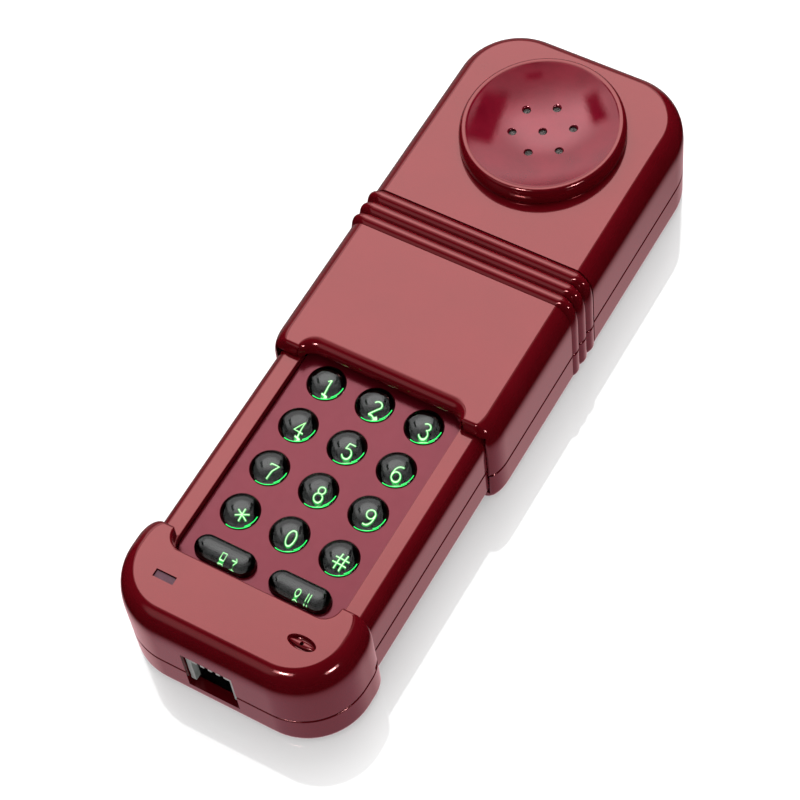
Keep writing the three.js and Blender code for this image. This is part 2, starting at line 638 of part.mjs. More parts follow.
// Four contact wires that spring down into the port, on one moulded carrier.
function jackContacts() {
  const top = JACK.top - GAP;
  const front = CAP_END + JACK.recess;
  const carrierHalf = 4.6;
  const wireRadius = 0.23;
  const carrier = block(JACK.x - carrierHalf, JACK.x + carrierHalf, front + 11.4, front + 12.6,
    top - 11, top - 4);
  const wires = CONTACTS.map((x) => {
    const path = new CatmullRomCurve3([
      new Vector3(x, front + 11.6, top - 9), new Vector3(x, front + 7, top - 7),
      new Vector3(x, front + 2.4, top - 4.2), new Vector3(x, front + 1.4, top - 3),
    ]);
    const section = new Shape();
    section.absarc(0, 0, wireRadius, 0, Math.PI * 2);
    return solid(new ExtrudeGeometry(section, {
      steps: 6, curveSegments: 3, bevelEnabled: false, extrudePath: path,
    }));
  });
  return join(carrier, wires);
}

function indicatorLens() {
  const { x, y, width, height, depth } = WINDOW;
  const top = THICKNESS - depth;
  const head = block(x - width / 2 + 0.15, x + width / 2 - 0.15, y - height / 2 + 0.15,
    y + height / 2 - 0.15, top - 2, top);
  const foot = block(x - width / 2 - 1, x + width / 2 + 1, y - height / 2 - 0.8,
    y + height / 2 + 0.8, top - 2.8, top - 1.8);
  return head.add(foot);
}

function indicatorLed() {
  const { x, y } = WINDOW;
  return turned([[0, 20], [1.9, 20], [1.9, 20.8], [1.5, 20.8], [1.5, 23.2], [1.1, 24.2],
    [0, 24.7]], x, y, SMALL_STEPS);
}

function microphoneCapsule() {
  const { x, y } = MICROPHONE;
  return turned([[0, 23], [3, 23], [3, 26.2], [2.6, 26.4], [0, 26.4]], x, y);
}

function microphoneBoot() {
  const { x, y } = MICROPHONE;
  return turned([[3.2, 22.6], [4, 22.6], [4, 27.6], [1, 27.6], [1, 26.7], [3.2, 26.7],
    [3.2, 22.6]], x, y);
}

function ringerDisc() {
  const { x, y, radius } = RINGER;
  const z = BODY_BOTTOM + BODY_WALL + GAP;
  const disc = pin(x, y, z, z + 0.5, radius, ROUND_STEPS);
  return disc.add(pin(x, y, z, z + 0.8, radius * 0.72, ROUND_STEPS));
}

function selectorSwitch() {
  const { x, y, length, width } = SELECTOR;
  const low = BODY_WALL + 1.4;
  const can = block(x - length / 2, x + length / 2, y - width / 2, y + width / 2, low, low + 3.2);
  const half = 1.2 + SELECTOR.travel / 2 + GAP;
  return carve(can, [block(x - half, x + half, y - 1.1, y + 1.1, low - 1, low + 2)]);
}

// The knob rests at the low X end of its slot.
function selectorKnob() {
  const x = SELECTOR.x - SELECTOR.travel / 2;
  const { y } = SELECTOR;
  const cap = block(x - 1.4, x + 1.4, y - 1.2, y + 1.2, 0.5, BODY_WALL + 0.2);
  const slip = block(x - 2.2, x + 2.2, y - 2, y + 2, BODY_WALL + GAP, BODY_WALL + 1.1);
  const stem = block(x - 0.9, x + 0.9, y - 0.8, y + 0.8, BODY_WALL, BODY_WALL + 3);
  const grips = [-0.8, 0, 0.8].map((step) =>
    block(x + step - 0.15, x + step + 0.15, y - 2, y + 2, 0, 0.8));
  return carve(join(cap, [slip, stem]), grips);
}

function hookSwitch() {
  const x = LEVER.x;
  const z = LEVER.pivotZ + 1.7;
  return join(block(x - 3, x + 3, 8.6, 14.6, z, z + 3), [
    block(x - 1, x + 1, 9.6, 11.4, z - 0.4, z + 0.5),
  ]);
}

// The lever pivots at its inner end. Its nose pokes out under the tail, where the sleeve runs.
function hookLever() {
  const { x, pivotY, pivotZ, noseY, nose } = LEVER;
  const profile = new Shape();
  profile.moveTo(pivotY - 1.4, pivotZ - 1.2);
  profile.lineTo(noseY - 1.2, pivotZ - 1.2);
  profile.lineTo(noseY - 1, nose + 0.8);
  profile.absarc(noseY, nose + 0.8, 0.8, Math.PI, Math.PI * 2);
  profile.lineTo(noseY + 1.2, pivotZ - 1.2);
  profile.lineTo(noseY + 3, pivotZ - 0.6);
  profile.lineTo(noseY + 3, pivotZ + 0.2);
  profile.lineTo(pivotY - 1.4, pivotZ + 0.9);
  const geometry = new ExtrudeGeometry(profile, {
    depth: 2, bevelEnabled: false, curveSegments: 4,
  });
  geometry.rotateX(Math.PI / 2);
  geometry.rotateZ(Math.PI / 2);
  geometry.translate(x - 1, 0, 0);
  const arm = solid(geometry);
  const pivotHole = new CylinderGeometry(0.55, 0.55, 4, 10);
  pivotHole.rotateZ(Math.PI / 2);
  pivotHole.translate(x, pivotY, pivotZ - 0.1);
  return arm.subtract(solid(pivotHole));
}

// Axle of the lever, on two posts that stand on its base plate.
function leverBracket() {
  const { x, pivotY, pivotZ } = LEVER;
  const floor = BODY_BOTTOM + BODY_WALL + GAP;
  const base = block(x - 3.4, x + 3.4, pivotY - 2, pivotY + 2, floor, floor + 1);
  const posts = mirrored((side) => block(x + side * 2.4 - 0.9, x + side * 2.4 + 0.9,
    pivotY - 1.2, pivotY + 1.2, floor, pivotZ + 0.8));
  const axle = new CylinderGeometry(0.35, 0.35, 4, 10);
  axle.rotateZ(Math.PI / 2);
  axle.translate(x, pivotY, pivotZ - 0.1);
  return join(base, [...posts, solid(axle)]);
}

function backlightLed() {
  return block(-0.8, 0.8, -1.5, 1.5, BOARD.top + GAP, BOARD.top + 1.3);
}

// ---------------------------------------------------------------- fasteners

// A pan-head screw that points up, with its head seated just below the given height.
function screw({ seat, tip }, head) {
  const shank = 1;
  const slot = 0.35;
  const body = turned([
    [0, seat - 1.7], [head * 0.7, seat - 1.7], [head, seat - 1.1], [head, seat - 0.2],
    [shank, seat - 0.2], [shank, tip - 1], [0, tip],
  ], 0, 0, SMALL_STEPS);
  return carve(body, [
    block(-head * 0.62, head * 0.62, -slot, slot, seat - 2, seat - 0.9),
    block(-slot, slot, -head * 0.62, head * 0.62, seat - 2, seat - 0.9),
  ]);
}

// ---------------------------------------------------------------- assembly

function slideTravel() {
  return MOUTH_Y - SHOULDER_Y - 0.4;
}

const phone = new Group();

function add(name, shape, material, x = 0, y = 0) {
  const mesh = new Mesh(toGeometry(shape), material());
  mesh.name = name;
  mesh.position.set(x, y, 0);
  phone.add(mesh);
}

function addPair(name, make, material, place) {
  const sides = { left: -1, right: 1 };
  for (const [word, side] of Object.entries(sides)) {
    add(`${name}_${word}`, make(side), material, side * place.x, place.y);
  }
}

add('sleeve_front_shell', sleeveFrontShell(), burgundy);
add('sleeve_rear_shell', sleeveRearShell(), burgundy);
addPair('sleeve_screw', () => screw(SLEEVE_SCREW, 2.2), steel, SLEEVE_SCREW);
add('ear_gasket', earGasket(), foam);
add('receiver_capsule', receiverCapsule(), blackPart);
add('receiver_retainer', receiverRetainer(), blackPart);
addPair('retainer_screw', () => screw(RETAINER_SCREW, 1.9), steel, RETAINER_SCREW);

add('body_front_shell', bodyFrontShell(), burgundy);
add('body_rear_shell', bodyRearShell(), burgundy);
addPair('cap_screw', () => screw(CAP_SCREW, 2.2), steel, CAP_SCREW);
addPair('tail_screw', () => screw(TAIL_SCREW, 2), steel, TAIL_SCREW);
addPair('detent_spring', (side) => detentSpring(side), steel, { x: 0, y: 0 });
add('keypad_faceplate', keypadFaceplate(), burgundyPanel);

const keyNames = [['1', '2', '3'], ['4', '5', '6'], ['7', '8', '9'], ['star', '0', 'hash']];
keyNames.forEach((names, row) => names.forEach((name, column) =>
  add(`key_${name}`, roundKey(), smokedKey, keyColumns[column], keyRows[row])));
addPair('key_oval', () => ovalKey(), smokedKey, OVAL_KEY);
add('keymat', keymat(), silicone);

add('main_board', mainBoard(), greenBoard);
const backlightRows = [-25, -57];
backlightRows.forEach((y, i) =>
  addPair(`backlight_led_${i + 1}`, () => backlightLed(), greenLens, { x: 22.3, y }));
add('indicator_lens', indicatorLens(), smokedLens);
add('indicator_led', indicatorLed(), greenLens);
add('microphone_capsule', microphoneCapsule(), steel);
add('microphone_boot', microphoneBoot(), foam);
add('line_jack', lineJack(), greyJack);
add('jack_contacts', jackContacts(), brass);
add('ringer_disc', ringerDisc(), brass);
add('selector_switch', selectorSwitch(), steel);
add('selector_knob', selectorKnob(), blackPart);
add('hook_switch', hookSwitch(), blackPart);
add('hook_lever', hookLever(), blackPart);
add('lever_bracket', leverBracket(), blackPart);

export default phone;
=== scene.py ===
"""Looks of a compact slide telephone: glossy burgundy shells, smoked keys lit from inside."""
import json
from math import atan2, cos, hypot, pi, radians, sin, sqrt

import bpy
from mathutils import Matrix, Vector

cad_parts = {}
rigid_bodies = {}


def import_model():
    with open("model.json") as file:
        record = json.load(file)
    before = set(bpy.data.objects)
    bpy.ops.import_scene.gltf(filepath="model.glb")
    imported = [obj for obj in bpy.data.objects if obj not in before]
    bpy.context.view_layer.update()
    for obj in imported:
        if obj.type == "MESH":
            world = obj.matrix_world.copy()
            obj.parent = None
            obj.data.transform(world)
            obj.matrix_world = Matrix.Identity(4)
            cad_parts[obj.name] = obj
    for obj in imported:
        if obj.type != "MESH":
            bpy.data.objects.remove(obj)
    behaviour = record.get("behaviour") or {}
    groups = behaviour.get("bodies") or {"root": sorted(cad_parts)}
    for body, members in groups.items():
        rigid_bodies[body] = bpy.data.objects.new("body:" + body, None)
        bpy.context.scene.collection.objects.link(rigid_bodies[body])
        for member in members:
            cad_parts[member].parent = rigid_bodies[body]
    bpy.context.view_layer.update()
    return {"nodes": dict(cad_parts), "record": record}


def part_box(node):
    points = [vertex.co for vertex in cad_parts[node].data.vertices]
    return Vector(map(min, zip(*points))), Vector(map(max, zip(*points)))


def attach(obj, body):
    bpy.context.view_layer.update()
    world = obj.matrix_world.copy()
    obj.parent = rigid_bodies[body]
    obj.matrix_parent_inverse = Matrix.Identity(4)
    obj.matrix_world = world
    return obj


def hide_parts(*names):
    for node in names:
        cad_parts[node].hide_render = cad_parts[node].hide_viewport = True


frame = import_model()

MM = 0.001                       # shapes are worked out in millimetres


def span(node):
    """Lowest and highest corner of a CAD node, in millimetres."""
    low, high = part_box(node)
    return [c / MM for c in low], [c / MM for c in high]


# ---------- sizes, from the frame

body_low, body_high = span("body_front_shell")
rear_high = span("body_rear_shell")[1]
sleeve_low, sleeve_high = span("sleeve_front_shell")
sleeve_rear_high = span("sleeve_rear_shell")[1]
panel_low, panel_high = span("keypad_faceplate")
jack_low, jack_high = span("line_jack")

HALF = body_high[0]              # half the width of cap and sleeve, without the ribs
TOP = body_high[2]
END = body_low[1]
EAR = sleeve_high[1]
MOUTH = sleeve_low[1]
RIB = sleeve_high[0] - HALF
SEAM = (sleeve_rear_high[2], sleeve_low[2])
SEAM_GAP = SEAM[1] - SEAM[0]
BODY_SEAM = (rear_high[2], rear_high[2] + SEAM_GAP)
PANEL = panel_high[2]
PANEL_HALF = panel_high[0] + 0.15
NOTCH = panel_low[1] - 0.3       # deep end of the notch in the cap
PANEL_END = panel_high[1]
JACK_MIDDLE = (jack_low[0] + jack_high[0]) / 2
JACK_HALF = (jack_high[0] - jack_low[0]) / 2

EDGE = (4.2, 11.5)               # how far the front face's rounding reaches inwards and downwards
REAR_EDGE = (3, 3)
BREAK = (0.4, 0.4)               # broken edges along the seams
EAR_CORNER = 16.5
EAR_START = 45.0                 # where the sleeve's straight sides end
WALL = 1.8
MOUTH_WALL = 5                   # thickness of the wall round the mouth
PAST = 1                         # how far a cutter reaches past the face that it opens
BEYOND = 40                      # outside the phone, for cutters that run right through

MOUTH_CURVE = (5.4, 2.0)         # the mouth's sides draw in over this length, by this much
MOUTH_LIP = (1.5, 3.2)           # its top edge drops over this length, by this much
HOLLOW_SHOULDER = 2.9            # how far the room inside the sleeve slopes in at the top
ARCH_LIP = 3.1                   # the arch's lip rolls over this height
ARCH_DEPTH = 2.7                 # how far the arch reaches in from the mouth, at its underside
SLEEVE_SCREWS = (12, 84.4)
CAP_SCREWS = (23, -74.2)
SCREW_BORE = 2.7

RIB_PITCH = 3.73
RIB_MIDDLE = 26.4
RIB_COUNT = 3
RIB_ENDS = 0.12                  # the outermost ribs begin within this length
RIB_BLUNTING = 0.985             # 1 would make the ribs full half ellipses with sharp grooves
RIB_SWELL = (1.3, 0.4)           # how much higher the ribs stand round the front edge and on the face
GROOVE = 1.0                     # depth of the grooves beside and between the ribs

DISH_Y = 63.4
DISH_STRETCH = 1.04
DISH_BASE = 20.0
DISH_LIP = 18.3
BOWL_BOTTOM = 31.3
LIP_DROP = 0.08                  # how far the lip rolls in before the bowl begins
HOLE = 0.95                      # radius of a sound hole
HOLE_RING = 7.3                  # six of them lie on a ring of this radius

CAP_CORNER = 15.5
CAP_WALL = 2
SHOULDER = MOUTH - 52.4
SHOULDER_CORNER = (2.2, 5.0)
SHOULDER_EDGE = 0.9
BODY_HALF = HALF - 2.3
BODY_BOTTOM = 2.7
RIM = TOP - 3.7
RIM_EDGE = (2.8, 8.0)
NOTCH_HALF = 21.6
NOTCH_CORNER = 4.2
KEYPAD_END = -8                  # where the body's raised part ends, inside the sleeve
FLOOR_END = 0
TAIL_HALF = 27.2
TAIL_TOP = 15
TAIL_END = 20
OVERLAP = 4                      # how far joined solids reach into each other
MICROPHONE = (18.2, -80.7)
INDICATOR = (-17.0, -80.9)
SHELF = 2.6                      # depth of the shelf below the line jack
RINGER_Y = -46
SELECTOR_SLOT = (12.2, 17.8, -82.5, -79.5)

KEY_RADIUS = 4.55
OVAL_RADIUS = 2.9
OVAL_STRAIGHT = 4.7              # half the straight part of an oval key
CAP_OVERHANG = 0.07              # a smoked cap is this much wider than the key below it
KEY_HEIGHT = 26.3
OVAL_HEIGHT = 27.0
KEY_FLANGE = (19.8, 20.8)        # lower and upper face of the flange round a key's foot
LAMP_PLANE = 21.6                # where the lit digits lie, under the smoked caps

CURVE = 18                       # flats in a rounded edge
CORNER = 20                      # flats in a quarter corner


# ---------- mesh code

def add_object(name, data):
    """Puts a mesh, a camera or a light into the scene."""
    made = bpy.data.objects.new(name, data)
    bpy.context.collection.objects.link(made)
    return made


def make(name, points, faces):
    """A mesh object from points in millimetres."""
    mesh = bpy.data.meshes.new(name)
    mesh.from_pydata([Vector(p) * MM for p in points], [], faces)
    mesh.update()
    return add_object(name, mesh)


def turns(start, end, steps):
    """Angles in radians, in even steps between two angles in degrees."""
    return [radians(start + (end - start) * i / steps) for i in range(steps + 1)]


def raised(outline, z):
    """An outline's points at a height."""
    return [(x, y, z) for x, y in outline]


def loft(name, rings, strips=0):
    """A closed solid through rings of points, listed from the bottom up.

    With strips, the top is bridged across between the ring's first and last points.
    """
    count = len(rings[0])
    points = [p for ring in rings for p in ring]
    faces = [tuple(reversed(range(count)))]
    for level in range(len(rings) - 1):
        for i in range(count):
            a = level * count + i
            b = level * count + (i + 1) % count
            faces.append((a, b, b + count, a + count))
    top = (len(rings) - 1) * count
    for k in range(strips):
        faces.append((top + k, top + k + 1, top + count - 2 - k, top + count - 1 - k))
    faces.append(tuple(range(top + strips, top + count - strips)))
    return make(name, points, faces)


def prism(name, outline, low_z, high_z):
    """A straight solid between two heights."""
    return loft(name, [raised(outline, z) for z in (low_z, high_z)])


def slab(name, x0, x1, y0, y1, z0, z1):
    """A plain box, for cuts and linings."""
    return prism(name, [(x0, y0), (x1, y0), (x1, y1), (x0, y1)], z0, z1)


def lathe(name, profile, x, y, steps=64, stretch=1.0):
    """A solid of revolution about Z, from (radius, z) pairs listed from the bottom up."""
    angles = [2 * pi * i / steps for i in range(steps)]
    rings = [
        [(x + r * cos(t), y + stretch * r * sin(t), z) for t in angles]
        for r, z in profile
    ]
    return loft(name, rings)


def plan(half, low_y, high_y, low, high):
    """Outline seen from the front. Its low and high corners are a radius or a pair (x, y)."""
    corners = (
        (half, low_y, low, -90, 1, 1),
        (half, high_y, high, 0, 1, -1),
        (-half, high_y, high, 90, -1, -1),
        (-half, low_y, low, 180, -1, 1),
    )
    points = []
    for x, y, corner, start, side, end in corners:
        if corner == 0:
            points.append((x, y))
            continue
        rx, ry = corner if isinstance(corner, tuple) else (corner, corner)
        for t in turns(start, start + 90, CORNER):
            points.append((x - side * rx + rx * cos(t), y + end * ry + ry * sin(t)))
    return points


def arc(cx, cy, rx, ry, start, end, steps=14):
    """Points along part of an ellipse, between two angles in degrees."""
    return [(cx + rx * cos(t), cy + ry * sin(t)) for t in turns(start, end, steps)]


def levels(low_z, low_edge, high_z, high_edge, fade=2, tongue=0.0):
    """(z, inset, tilt of the low edge, tilt of the high edge) from the bottom up.

    A fade of 4 makes a high edge that starts crisply at the top and dies away slowly down the wall.
    A tongue stands on the high edge and closes the seam towards the shell above.
    """
    rows = []
    for turn in turns(90, 0, CURVE):
        rows.append((low_z + low_edge[1] * (1 - sin(turn)), low_edge[0] * (1 - cos(turn)), turn, 0))
    crisp = 1.45 if fade > 2 else 2
    for turn in turns(0, 90, CURVE):
        rise = sin(turn)
        inwards = max(0.0, 1 - rise ** fade) ** (1 / crisp)
        tilt = atan2(fade * rise ** (fade - 1) / high_edge[1],
                     crisp * inwards ** (crisp - 1) / high_edge[0])
        rows.append((high_z - high_edge[1] * (1 - rise), high_edge[0] * (1 - inwards), 0, tilt))
    if tongue:
        rows.append((high_z + tongue, high_edge[0], 0, 0))
    return rows


def rounded(value, limit, radius):
    """How far an edge of that radius has drawn in at a height, when it ends at the limit."""
    over = max(0.0, min(value - (limit - radius), radius))
    return radius - sqrt(radius * radius - over * over)


def combine(piece, others, operation):
    """Boolean of a piece with other solids, which are used up."""
    for other in others:
        step = piece.modifiers.new("step", "BOOLEAN")
        step.operation = operation
        step.solver = "MANIFOLD"
        step.object = other
        bake(piece)
        bpy.data.objects.remove(other)
    return piece


def bake(piece):
    """Turns a piece's modifiers into its mesh."""
    graph = bpy.context.evaluated_depsgraph_get()
    mesh = bpy.data.meshes.new_from_object(piece.evaluated_get(graph))
    piece.modifiers.clear()
    piece.data = mesh


def smooth(piece, angle=32):
    """Smooth shading that keeps flat faces flat and sharp edges sharp."""
    piece.data.shade_smooth()
    piece.data.set_sharp_from_angle(angle=radians(angle))
    weighted = piece.modifiers.new("weighted normals", "WEIGHTED_NORMAL")
    weighted.keep_sharp = True
    weighted.weight = 90
    return piece


def place(piece, material, body, slot, *nodes):
    """Gives a finished piece its material, its CAD body and the CAD nodes that it stands for."""
    piece.data.materials.clear()
    piece.data.materials.append(material)
    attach(piece, body)
    if nodes:
        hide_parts(*nodes)
    return piece


# ---------- camera

def add_camera():
    """Looks down on the phone from the right of the cap end, well above."""
    azimuth = radians(37.2)
    elevation = radians(57.985)
    roll = radians(-8.66)
    position = Vector((0.18951, -0.25876, 0.51390))
    data = bpy.data.cameras.new("camera")
    data.lens = 113.0
    data.clip_start = 0.01
    data.clip_end = 20
    camera = add_object("camera", data)
    forward = Vector((-sin(azimuth) * cos(elevation), cos(azimuth) * cos(elevation), -sin(elevation)))
    turn = forward.to_track_quat("-Z", "Y").to_matrix() @ Matrix.Rotation(roll, 3, "Z")
    camera.matrix_world = Matrix.Translation(position) @ turn.to_4x4()
    bpy.context.scene.camera = camera


# ---------- materials

def new_material(name, **values):
    """A Principled material with constants on the shader's own sockets."""
    material = bpy.data.materials.new(name)
    material.use_nodes = True
    shader = material.node_tree.nodes["Principled BSDF"]
    for key, value in values.items():
        shader.inputs[key.replace("_", " ")].default_value = value
    return material


def noise(material, scale, detail):
    """Noise in object coordinates, so that it stays on the piece. Scale is per metre."""
    nodes = material.node_tree.nodes
    coordinates = nodes.new("ShaderNodeTexCoord")
    texture = nodes.new("ShaderNodeTexNoise")
    texture.inputs["Scale"].default_value = scale
    texture.inputs["Detail"].default_value = detail
    material.node_tree.links.new(coordinates.outputs["Object"], texture.inputs["Vector"])
    return texture.outputs["Fac"]


def as_colour(value):
    """A colour with its alpha, from a colour or from a single number."""
    return (*value, 1) if isinstance(value, tuple) else (value, value, value, 1)


def vary(material, socket, scale, low, high, detail=3.0):
    """Drives a colour or value socket between two values by a noise."""
    shader = material.node_tree.nodes["Principled BSDF"]
    ramp = material.node_tree.nodes.new("ShaderNodeValToRGB")
    for element, position, value in zip(ramp.color_ramp.elements, (0.3, 0.7), (low, high)):
        element.position = position
        element.color = as_colour(value)
    material.node_tree.links.new(noise(material, scale, detail), ramp.inputs["Fac"])
    material.node_tree.links.new(ramp.outputs["Color"], shader.inputs[socket])


def bump(material, scale, height, strength=1.0, detail=3.0):
    """Raises the surface by a noise, height in metres."""
    shader = material.node_tree.nodes["Principled BSDF"]
    bumper = material.node_tree.nodes.new("ShaderNodeBump")
    bumper.inputs["Strength"].default_value = strength
    bumper.inputs["Distance"].default_value = height
    material.node_tree.links.new(noise(material, scale, detail), bumper.inputs["Height"])
    material.node_tree.links.new(bumper.outputs["Normal"], shader.inputs["Normal"])


def textured(name, colour, roughness, grain=None, **values):
    """A material whose colour and roughness vary over the surface.

    Colour and roughness are what vary is given, and the grain is what bump is given.
    """
    material = new_material(name, **values)
    vary(material, "Base Color", *colour)
    vary(material, "Roughness", *roughness)
    if grain:
        bump(material, *grain)
    return material


def burgundy_material():
    """Polished moulding: barely waved by the tool, with a trace of haze from handling."""
    return textured("burgundy", (90, (0.061, 0.0010, 0.0028), (0.071, 0.0014, 0.0036)),
                    roughness=(260, 0.07, 0.10), grain=(420, 0.000004, 1.0, 1.0),
                    Specular_IOR_Level=1.1, Specular_Tint=(1.0, 0.41, 0.41, 1))


def panel_material():
    """The keypad plate: the same plastic with a fine satin tooling."""
    return textured("burgundy_panel", (140, (0.060, 0.0014, 0.0046), (0.070, 0.0020, 0.0058)),
                    roughness=(500, 0.16, 0.22), grain=(2600, 0.000006, 0.5, 2.0),
                    Specular_IOR_Level=0.85, Specular_Tint=(1.0, 0.34, 0.42, 1))


def bowl_sheen_material():
    """The inside of the ear dish, moulded with the shell: a lighter, redder copy of the burgundy with a
    pinker specular tint, as painted sheen, and uneven in its gloss.
    """
    return textured("burgundy_bowl_painted_sheen", (160, (0.070, 0.0014, 0.0058), (0.100, 0.0028, 0.0092), 5.0),
                    roughness=(130, 0.03, 0.10, 5.0), grain=(700, 0.000008, 1.0, 4.0),
                    Specular_IOR_Level=1.06, Specular_Tint=(1.0, 0.45, 0.49, 1))


def smoked_material():
    """Clear acrylic with a grey tint. The digits are seen through it."""
    return textured("smoked_key", (300, (0.16, 0.17, 0.165), (0.20, 0.21, 0.205)),
                    roughness=(700, 0.0, 0.02), IOR=1.49, Transmission_Weight=1.0)


def black_base_and_shade_material():
    """Matt black moulding under the smoked caps. Behind and inside the line jack the same black is painted
    shade in the hollows.
    """
    return textured("key_base_and_painted_shade", (900, 0.004, 0.012), roughness=(600, 0.35, 0.5))


def lit_material(name, colour, strength):
    """A printed film, lit from behind and a little uneven."""
    material = new_material(name, Base_Color=(*colour, 1), Emission_Color=(*colour, 1))
    vary(material, "Emission Strength", 500, strength * 0.8, strength)
    return material


def grille_material():
    """Tarnished woven wire."""
    return textured("grille", (2500, (0.02, 0.017, 0.017), (0.30, 0.27, 0.26), 4.0),
                    roughness=(900, 0.5, 0.7), Metallic=0.6)


def jack_material():
    """Grey moulding with a fine grain."""
    return textured("grey_jack", (400, (0.27, 0.29, 0.275), (0.33, 0.35, 0.335)),
                    roughness=(800, 0.35, 0.5), grain=(3000, 0.00001, 0.4, 2.0))


def lens_material():
    """Dim mauve plastic over the indicator lamp."""
    return textured("smoked_lens", (800, (0.070, 0.022, 0.036), (0.095, 0.032, 0.050)),
                    roughness=(900, 0.25, 0.35), Specular_IOR_Level=0.25)


def metal_material(name, low, high, roughness):
    """Metal whose polish varies by a fifth."""
    return textured(name, (700, low, high), roughness=(1500, roughness * 0.8, roughness * 1.2),
                    grain=(4000, 0.000005, 0.4, 2.0), Metallic=1.0)


def moulded_material(name, low, high, roughness):
    """Plastic, rubber or board with a fine moulded grain."""
    return textured(name, (500, low, high), roughness=(900, roughness * 0.85, roughness * 1.15),
                    grain=(2500, 0.000012, 0.5))


# ---------- sleeve

def rib_height(y):
    """Height of the three ribs at a place along the sleeve: round crests between tight grooves."""
    steps = (y - RIB_MIDDLE) / RIB_PITCH + RIB_COUNT / 2
    if not 0 < steps < RIB_COUNT:
        return 0.0
    across = abs(2 * (steps % 1) - 1)
    crest = (RIB + GROOVE) * sqrt(1 - (RIB_BLUNTING * across) ** 2) - GROOVE
    ends = min(steps, RIB_COUNT - steps) * RIB_PITCH
    return crest * min(1.0, ends / RIB_ENDS)


def sleeve_stations():
    """Places along the sleeve's straight sides, close together where its shape changes fast."""
    mouth = [MOUTH + length * (i / steps) ** 1.6
             for length, steps in ((MOUTH_CURVE[0], 12), (MOUTH_LIP[0], 8))
             for i in range(steps + 1)]
    first = RIB_MIDDLE - RIB_PITCH * RIB_COUNT / 2
    ribs = [first + RIB_PITCH * (rib + (1 - cos(t)) / 2)
            for rib in range(RIB_COUNT) for t in turns(0, 180, 20)]
    ends = [first + RIB_ENDS, first + RIB_PITCH * RIB_COUNT - RIB_ENDS]
    return sorted(set(round(y, 4) for y in mouth + ribs + ends + [EAR_START]))


def mouth_rounding(y, length, reach):
    """How far an elliptical edge at the mouth has drawn in, at a place along the sleeve."""
    towards = max(0.0, min((MOUTH + length - y) / length, 1))
    return reach * (1 - sqrt(1 - towards ** 2))


def sleeve_solid(name, low_z, low_edge, high_z, high_edge, is_front, tongue=0.0):
    """The sleeve's outer skin between two heights: straight sides, ribs, mouth and ear end."""
    stations = sleeve_stations()
    rings = []
    fade = 4 if is_front else 2
    for z, inset, low_turn, high_turn in levels(low_z, low_edge, high_z, high_edge, fade, tongue):
        out = cos(low_turn) * cos(high_turn)
        up = sin(high_turn)
        swell = 1 + RIB_SWELL[0] * sin(2 * high_turn) ** 2 + RIB_SWELL[1] * up
        side = []
        for y in stations:
            ribbed = rib_height(y)
            if ribbed > 0 and is_front:
                ribbed *= swell
            x = HALF - inset - mouth_rounding(y, *MOUTH_CURVE) + ribbed * out
            drop = mouth_rounding(y, *MOUTH_LIP)
            side.append((min(x, HALF + RIB), y, z - drop * up + ribbed * up))
        ear = plan(HALF - inset, EAR_START, EAR - inset, 0, EAR_CORNER - inset)[1:-1]
        left = [(-x, y, z) for x, y, z in reversed(side)]
        rings.append(side + raised(ear, z) + left)
    return loft(name, rings, len(stations) - 1 if is_front else 0)


def sleeve_hollow(low_z, high_z, shoulder=0.0):
    """Room inside the sleeve for the body, which slopes in at the top by the shoulder."""
    rows = [(low_z, WALL), (high_z, WALL + shoulder)]
    if shoulder:
        rows.insert(1, (high_z - 1.7 * shoulder, WALL))
    return loft("room", [raised(plan(HALF - wall, MOUTH + MOUTH_WALL, EAR - wall, 0, EAR_CORNER - wall), z)
                         for z, wall in rows])


def mouth_cutter(low_z, high_z):
    """The opening that the body slides through."""
    half = BODY_HALF + 0.15
    return slab("mouth", -half, half, MOUTH - 2, MOUTH + MOUTH_WALL + PAST, low_z, high_z)


def arch_cutter():
    """The arch over the keypad. Its lip rolls from the underside up to the front face."""
    flare = 1.2
    underside = TOP - ARCH_LIP
    rows = [(underside - PAST, 0.0)]
    rows += [(underside + ARCH_LIP * sin(t), 1 - cos(t)) for t in turns(0, 90, CURVE)]
    rows.append((TOP + 2, 1.0))
    rings = []
    for z, roll in rows:
        half = NOTCH_HALF + 0.5 * roll ** 3
        inner = plan(half, MOUTH - 4, MOUTH + ARCH_DEPTH + ARCH_LIP * roll, 0, NOTCH_CORNER)[1:-1]
        left = [p for p in inner if p[0] < 0]
        right = [p for p in inner if p[0] > 0]
        ends = [(half + flare, MOUTH - 4)]
        ends += [(half + flare * (1 - sin(t)), MOUTH + flare * (1 - cos(t)))
                 for t in turns(0, 90, 8)]
        mirror = [(-x, y) for x, y in reversed(ends)]
        rings.append(raised(ends + right + left + mirror, z))
    return loft("arch", rings)


def bowl_height(radius):
    """Height of the dish's bowl at a distance from its middle."""
    depth = sleeve_high[2] - LIP_DROP - BOWL_BOTTOM
    return BOWL_BOTTOM + depth * (radius / DISH_LIP) ** 2


def dish_solid():
    """The raised oval ear dish: a round bead, a narrow lip and a shallow bowl."""
    top = sleeve_high[2]
    lip_width = 0.75
    lip_steps = 4
    bowl_steps = 40
    bead_middle = DISH_LIP + lip_width
    bead_width = DISH_BASE + 0.2 - DISH_LIP - lip_width
    bead_height = 3.2
    profile = [(DISH_BASE, TOP - 1.0), (DISH_BASE, TOP)]
    profile += [(bead_middle + bead_width * cos(t), top - bead_height * (1 - sin(t)))
                for t in turns(-20, 90, CURVE)]
    for i in range(1, lip_steps + 1):
        part = i / lip_steps
        profile.append((DISH_LIP + lip_width * (1 - part), top - LIP_DROP * part ** 2))
    for i in range(1, bowl_steps):
        radius = DISH_LIP * (1 - i / bowl_steps)
        profile.append((radius, bowl_height(radius)))
    return lathe("dish", profile, 0, DISH_Y, 160, DISH_STRETCH)


